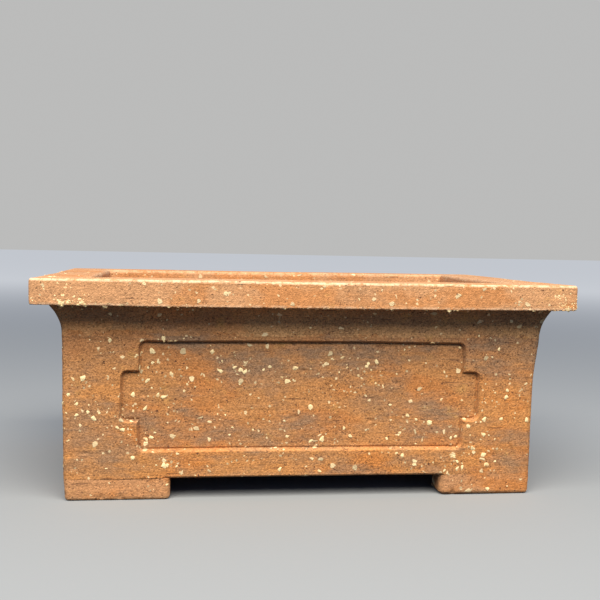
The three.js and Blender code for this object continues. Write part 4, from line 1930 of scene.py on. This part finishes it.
@dataclass
class GrogGrains:
    """The crumbs of grog that stand a little out of the clay, scattered over all its open faces."""

    dresser: Dresser
    grains: float = 30000.0  # per square metre, where they are neither crowded nor sparse
    patch: float = 0.0095  # metres, as the radii are
    smallest: float = 0.19 * MM
    largest: float = 0.95 * MM
    flatness: float = 0.22
    rarity: float = 2.3  # how much rarer large grains are than small ones
    shapes: int = 5
    seed: int = 4

    def build(self, pieces: list[Piece]) -> Piece:
        """Scatters the grains.

        Args:
            pieces: The finished pieces that hold them.

        Returns:
            The grains, as one dressed piece.
        """
        skin = self.joined_skin(pieces)
        tree = self.scatter_tree()
        modifier = skin.modifiers.new("grains", "NODES")
        modifier.node_group = tree
        sizes = {
            "Grains": self.grains, "Patch Size": self.patch, "Smallest": self.smallest,
            "Largest": self.largest, "Flatness": self.flatness, "Rarity": self.rarity, "Seed": self.seed,
            "Clay": self.dresser.materials[Slot.GROG],
        }
        for item in tree.interface.items_tree:
            if item.item_type == "SOCKET" and item.in_out == "INPUT" and item.name in sizes:
                modifier[item.identifier] = sizes[item.name]
        shown = skin.evaluated_get(bpy.context.evaluated_depsgraph_get())
        mesh = bpy.data.meshes.new_from_object(shown)
        mesh.name = "grog_grains"
        skin.modifiers.clear()
        bpy.data.objects.remove(skin)
        mesh.shade_flat()
        mesh.materials.clear()
        self.keep_inside(mesh)
        return self.dresser.finish(place("grog_grains", mesh), Slot.GROG)

    @staticmethod
    def keep_inside(mesh: bpy.types.Mesh) -> None:
        """Pushes back, whole, each grain that passes the box of the solids.

        Args:
            mesh: The mesh of all the grains.
        """
        low, high = (np.array(corner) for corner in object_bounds())
        grains = read(mesh.vertices, "co", 3).reshape(-1, CRUMB_POINTS, 3)
        beyond = np.maximum(grains.max(axis=1) - high, 0) + np.minimum(grains.min(axis=1) - low, 0)
        mesh.vertices.foreach_set("co", (grains - beyond[:, None]).astype(np.float32).ravel())

    def joined_skin(self, pieces: list[Piece]) -> Piece:
        """One mesh of all the pieces' surfaces, which keeps only where they are bare.

        Args:
            pieces: The finished pieces.

        Returns:
            A new object, which isn't part of the pot.
        """
        places, bare, faces, first = [], [], [], 0
        for piece in pieces:
            mesh = piece.data
            open_air = read(mesh.attributes["bare"].data, "value")
            sides = read(mesh.polygons, "loop_total", kind=np.int32)
            corners = read(mesh.loops, "vertex_index", kind=np.int32)
            starts = np.cumsum(sides) - sides
            quads = corners[starts[sides == 4][:, None] + np.arange(4)]
            quads = quads[open_air[quads].min(axis=1) > 0]
            places.append(read(mesh.vertices, "co", 3).reshape(-1, 3))
            bare.append(open_air)
            faces.append(quads + first)
            first += len(open_air)
        quads = np.concatenate(faces)
        mesh = mesh_of("open_clay", np.concatenate(places), quads.ravel(), np.full(len(quads), 4))
        lay_on(mesh, "bare", np.concatenate(bare))
        return place("open_clay", mesh)

    def scatter_tree(self) -> Tree:
        """The node tree that scatters, shapes and lays the grains.

        Returns:
            The tree.
        """
        tree = bpy.data.node_groups.new("grog_scatter", "GeometryNodeTree")
        tree.interface.new_socket("Geometry", in_out="INPUT", socket_type="NodeSocketGeometry")
        for label in ("Grains", "Patch Size", "Smallest", "Largest", "Flatness", "Rarity"):
            tree.interface.new_socket(label, in_out="INPUT", socket_type="NodeSocketFloat")
        tree.interface.new_socket("Seed", in_out="INPUT", socket_type="NodeSocketInt")
        tree.interface.new_socket("Clay", in_out="INPUT", socket_type="NodeSocketMaterial")
        tree.interface.new_socket("Geometry", in_out="OUTPUT", socket_type="NodeSocketGeometry")
        graph = Graph(tree)
        given, made = graph.add("NodeGroupInput"), graph.add("NodeGroupOutput")
        size, seed = given.outputs, given.outputs["Seed"]

        where = graph.add("GeometryNodeInputPosition").outputs[0]
        scale = graph.math("DIVIDE", 1.0, size["Patch Size"])
        patches = graph.add("ShaderNodeTexNoise", {"Vector": where, "Scale": scale, "Detail": 2.5})
        crowd = graph.ramp(patches.outputs["Fac"], 0.5, 0.68, 0.45, 5.0)
        share = graph.add("GeometryNodeInputNamedAttribute", {"Name": "bare"}, data_type="FLOAT").outputs[0]
        density = graph.math("MULTIPLY", graph.math("MULTIPLY", crowd, size["Grains"]), share)
        points = graph.add(
            "GeometryNodeDistributePointsOnFaces",
            {"Mesh": size["Geometry"], "Density": density, "Seed": seed}, distribute_method="RANDOM",
        )
        chance = self.random(graph, seed, 1, 0.0, 1.0)
        chance = graph.math("POWER", chance, size["Rarity"])
        span = graph.math("SUBTRACT", size["Largest"], size["Smallest"])
        across = graph.math("ADD", size["Smallest"], graph.math("MULTIPLY", chance, span))
        narrow = graph.math("MULTIPLY", across, self.random(graph, seed, 2, 0.55, 1.0))
        deep = graph.math("MULTIPLY", across, size["Flatness"])
        scales = graph.add("ShaderNodeCombineXYZ", {0: across, 1: narrow, 2: deep}).outputs[0]
        spin = self.random(graph, seed, 3, -math.pi, math.pi)
        turn = graph.add("ShaderNodeCombineXYZ", {2: spin}).outputs[0]
        turned = graph.add(
            "FunctionNodeRotateRotation", {0: points.outputs["Rotation"], 1: turn}, rotation_space="LOCAL"
        )
        laid = graph.add(
            "GeometryNodeInstanceOnPoints",
            {
                "Points": points.outputs["Points"], "Instance": self.crumb_shapes(graph),
                "Pick Instance": True, "Rotation": turned.outputs[0], "Scale": scales,
            },
        )
        realised = graph.add("GeometryNodeRealizeInstances", {0: laid.outputs[0]}).outputs[0]
        clay = graph.add("GeometryNodeSetMaterial", {"Geometry": realised, "Material": size["Clay"]})
        graph.feed(made.inputs[0], clay.outputs[0])
        return tree

    def crumb_shapes(self, graph: Graph) -> Socket:
        """A few different angular crumbs.

        Args:
            graph: The tree that they are made in.

        Returns:
            The crumbs, each an instance to pick from.
        """
        joined_up = graph.add("GeometryNodeJoinGeometry")
        for number in range(self.shapes):
            ball = graph.add("GeometryNodeMeshIcoSphere", {"Radius": 1.0, "Subdivisions": 1}).outputs["Mesh"]
            shifts = {0: (-0.42, -0.42, -0.1), 1: (0.42, 0.42, 0.25), "Seed": 40 + number}
            shift = graph.add("FunctionNodeRandomValue", shifts, data_type="FLOAT_VECTOR").outputs[0]
            bent = graph.add("GeometryNodeSetPosition", {"Geometry": ball, "Offset": shift}).outputs[0]
            crumb = graph.add("GeometryNodeGeometryToInstance", {0: bent}).outputs[0]
            graph.feed(joined_up.inputs[0], crumb)
        return joined_up.outputs[0]

    @staticmethod
    def random(graph: Graph, seed: Socket, step: int, low: float, high: float) -> Socket:
        """A random number for each grain.

        Args:
            graph: The tree that it is made in.
            seed: The seed of the whole scatter.
            step: Which draw it is, so that no two are alike.
            low: The lowest number.
            high: The highest number.

        Returns:
            The number.
        """
        draw = graph.math("ADD", seed, float(step * 100))
        node = graph.add("FunctionNodeRandomValue", {2: low, 3: high, "Seed": draw}, data_type="FLOAT")
        return node.outputs[1]


# ---- studio


@dataclass(frozen=True)
class Softbox:
    """A large lamp that looks at the pot. Places and sizes are metres."""

    name: str
    spot: Place
    size: tuple[float, float]
    power: float
    colour: tuple[float, float, float] = (1.0, 0.97, 0.88)

    def hang(self) -> None:
        """Adds the lamp to the scene, facing down."""
        data = bpy.data.lights.new(self.name, "AREA")
        data.shape = "RECTANGLE"
        data.size, data.size_y = self.size
        data.energy = self.power
        data.color = self.colour
        place(self.name, data).location = self.spot


@dataclass(frozen=True)
class Studio:
    """The floor, the light and the camera around the pot."""

    floor_colour: Colour = (0.275, 0.275, 0.272, 1.0)
    bounce_colour: Colour = (0.05, 0.05, 0.052, 1.0)
    fill_colour: Colour = (0.34, 0.56, 1.0, 1.0)
    room_colour: Colour = (0.5, 0.5, 0.495, 1.0)
    floor_half: float = 9.0
    fill: float = 0.45  # the room's own light, as a share of how bright it looks
    fade: tuple[float, float] = (0.15, 1.6)  # where the floor passes into the room's colour
    camera_place: Place = (-0.0362, -0.2903, 0.0703)
    yaw: float = 7.68  # degrees, towards the right
    pitch: float = 3.29  # degrees, downwards
    roll: float = 1.14  # degrees, the right side up
    lens: float = 54.0
    lamp: Softbox = Softbox("overhead_softbox", (-0.12, -0.85, 0.9), (1.7, 1.2), 52.0)

    def build(self) -> None:
        """Sets up the whole studio."""
        self.lay_floor()
        self.lamp.hang()
        self.light_room()
        self.aim_camera()

    def lay_floor(self) -> None:
        """Lays the plain pale floor that the pot stands on."""
        reach = self.floor_half
        mesh = bpy.data.meshes.new("studio_floor")
        corners = [(-reach, -reach, 0), (reach, -reach, 0), (reach, reach, 0), (-reach, reach, 0)]
        mesh.from_pydata(corners, [], [(0, 1, 2, 3)])
        floor = place("studio_floor", mesh)
        made, graph = blank_material("studio_floor")
        seen = graph.add("ShaderNodeLightPath").outputs["Is Camera Ray"]
        surfaces = [
            graph.add("ShaderNodeBsdfDiffuse", {"Color": colour}).outputs[0]
            for colour in (self.bounce_colour, self.floor_colour)
        ]
        where = graph.add("ShaderNodeTexCoord").outputs["Object"]
        away = graph.add("ShaderNodeVectorMath", {0: where}, operation="LENGTH").outputs["Value"]
        glow = graph.add(
            "ShaderNodeEmission", {"Color": self.room_colour, "Strength": graph.ramp(away, *self.fade)}
        )
        lit = graph.add("ShaderNodeAddShader", {0: surfaces[1], 1: glow.outputs[0]}).outputs[0]
        mixed = graph.add("ShaderNodeMixShader", {0: seen, 1: surfaces[0], 2: lit})
        graph.close(mixed.outputs[0])
        mesh.materials.append(made)
        floor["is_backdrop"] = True

    def light_room(self) -> None:
        """Fills the room with a little even light, and closes it with a pale backdrop."""
        world = bpy.data.worlds.new("studio")
        world.use_nodes = True
        world.node_tree.nodes.clear()
        graph = Graph(world.node_tree)
        seen = graph.add("ShaderNodeLightPath").outputs["Is Camera Ray"]
        strength = graph.ramp(seen, 0.0, 1.0, self.fill, 1.0)
        colour = graph.blend(seen, self.fill_colour, self.room_colour)
        sky = graph.add("ShaderNodeBackground", {"Color": colour, "Strength": strength})
        graph.close(sky.outputs[0], "ShaderNodeOutputWorld")
        bpy.context.scene.world = world
        bpy.context.scene.view_settings.view_transform = "Standard"

    def aim_camera(self) -> None:
        """Adds the camera, close to the pot and a little above its lip."""
        yaw, pitch, roll = (math.radians(angle) for angle in (self.yaw, self.pitch, self.roll))
        level = Vector((math.sin(yaw), math.cos(yaw), 0))
        ahead = level * math.cos(pitch) - Vector((0, 0, math.sin(pitch)))
        above = Vector((0, 0, math.cos(pitch))) + level * math.sin(pitch)
        beside = Vector((math.cos(yaw), -math.sin(yaw), 0))
        right = beside * math.cos(roll) + above * math.sin(roll)
        up = above * math.cos(roll) - beside * math.sin(roll)
        data = bpy.data.cameras.new("camera")
        data.lens = self.lens
        data.sensor_width = 36.0
        data.clip_start = 0.01
        camera = place("camera", data)
        turn = Matrix((right, up, -ahead)).transposed()
        camera.matrix_world = Matrix.Translation(self.camera_place) @ turn.to_4x4()
        bpy.context.scene.camera = camera


# ---- the pot


def main() -> None:
    """Builds the pot, piece by piece, and the studio around it."""
    logging.basicConfig(level=logging.INFO, format="%(name)s: %(message)s")
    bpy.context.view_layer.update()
    Studio().build()
    pot = Proportions.of_frame()
    dresser = Dresser()
    makers = (Walls, Coves, Lips, Feet, Floor, Seams)
    pieces = [piece for maker in makers for piece in maker(pot, dresser).build()]
    GrogGrains(dresser).build(pieces)
    bpy.context.view_layer.update()


if __name__ == "__main__":
    main()
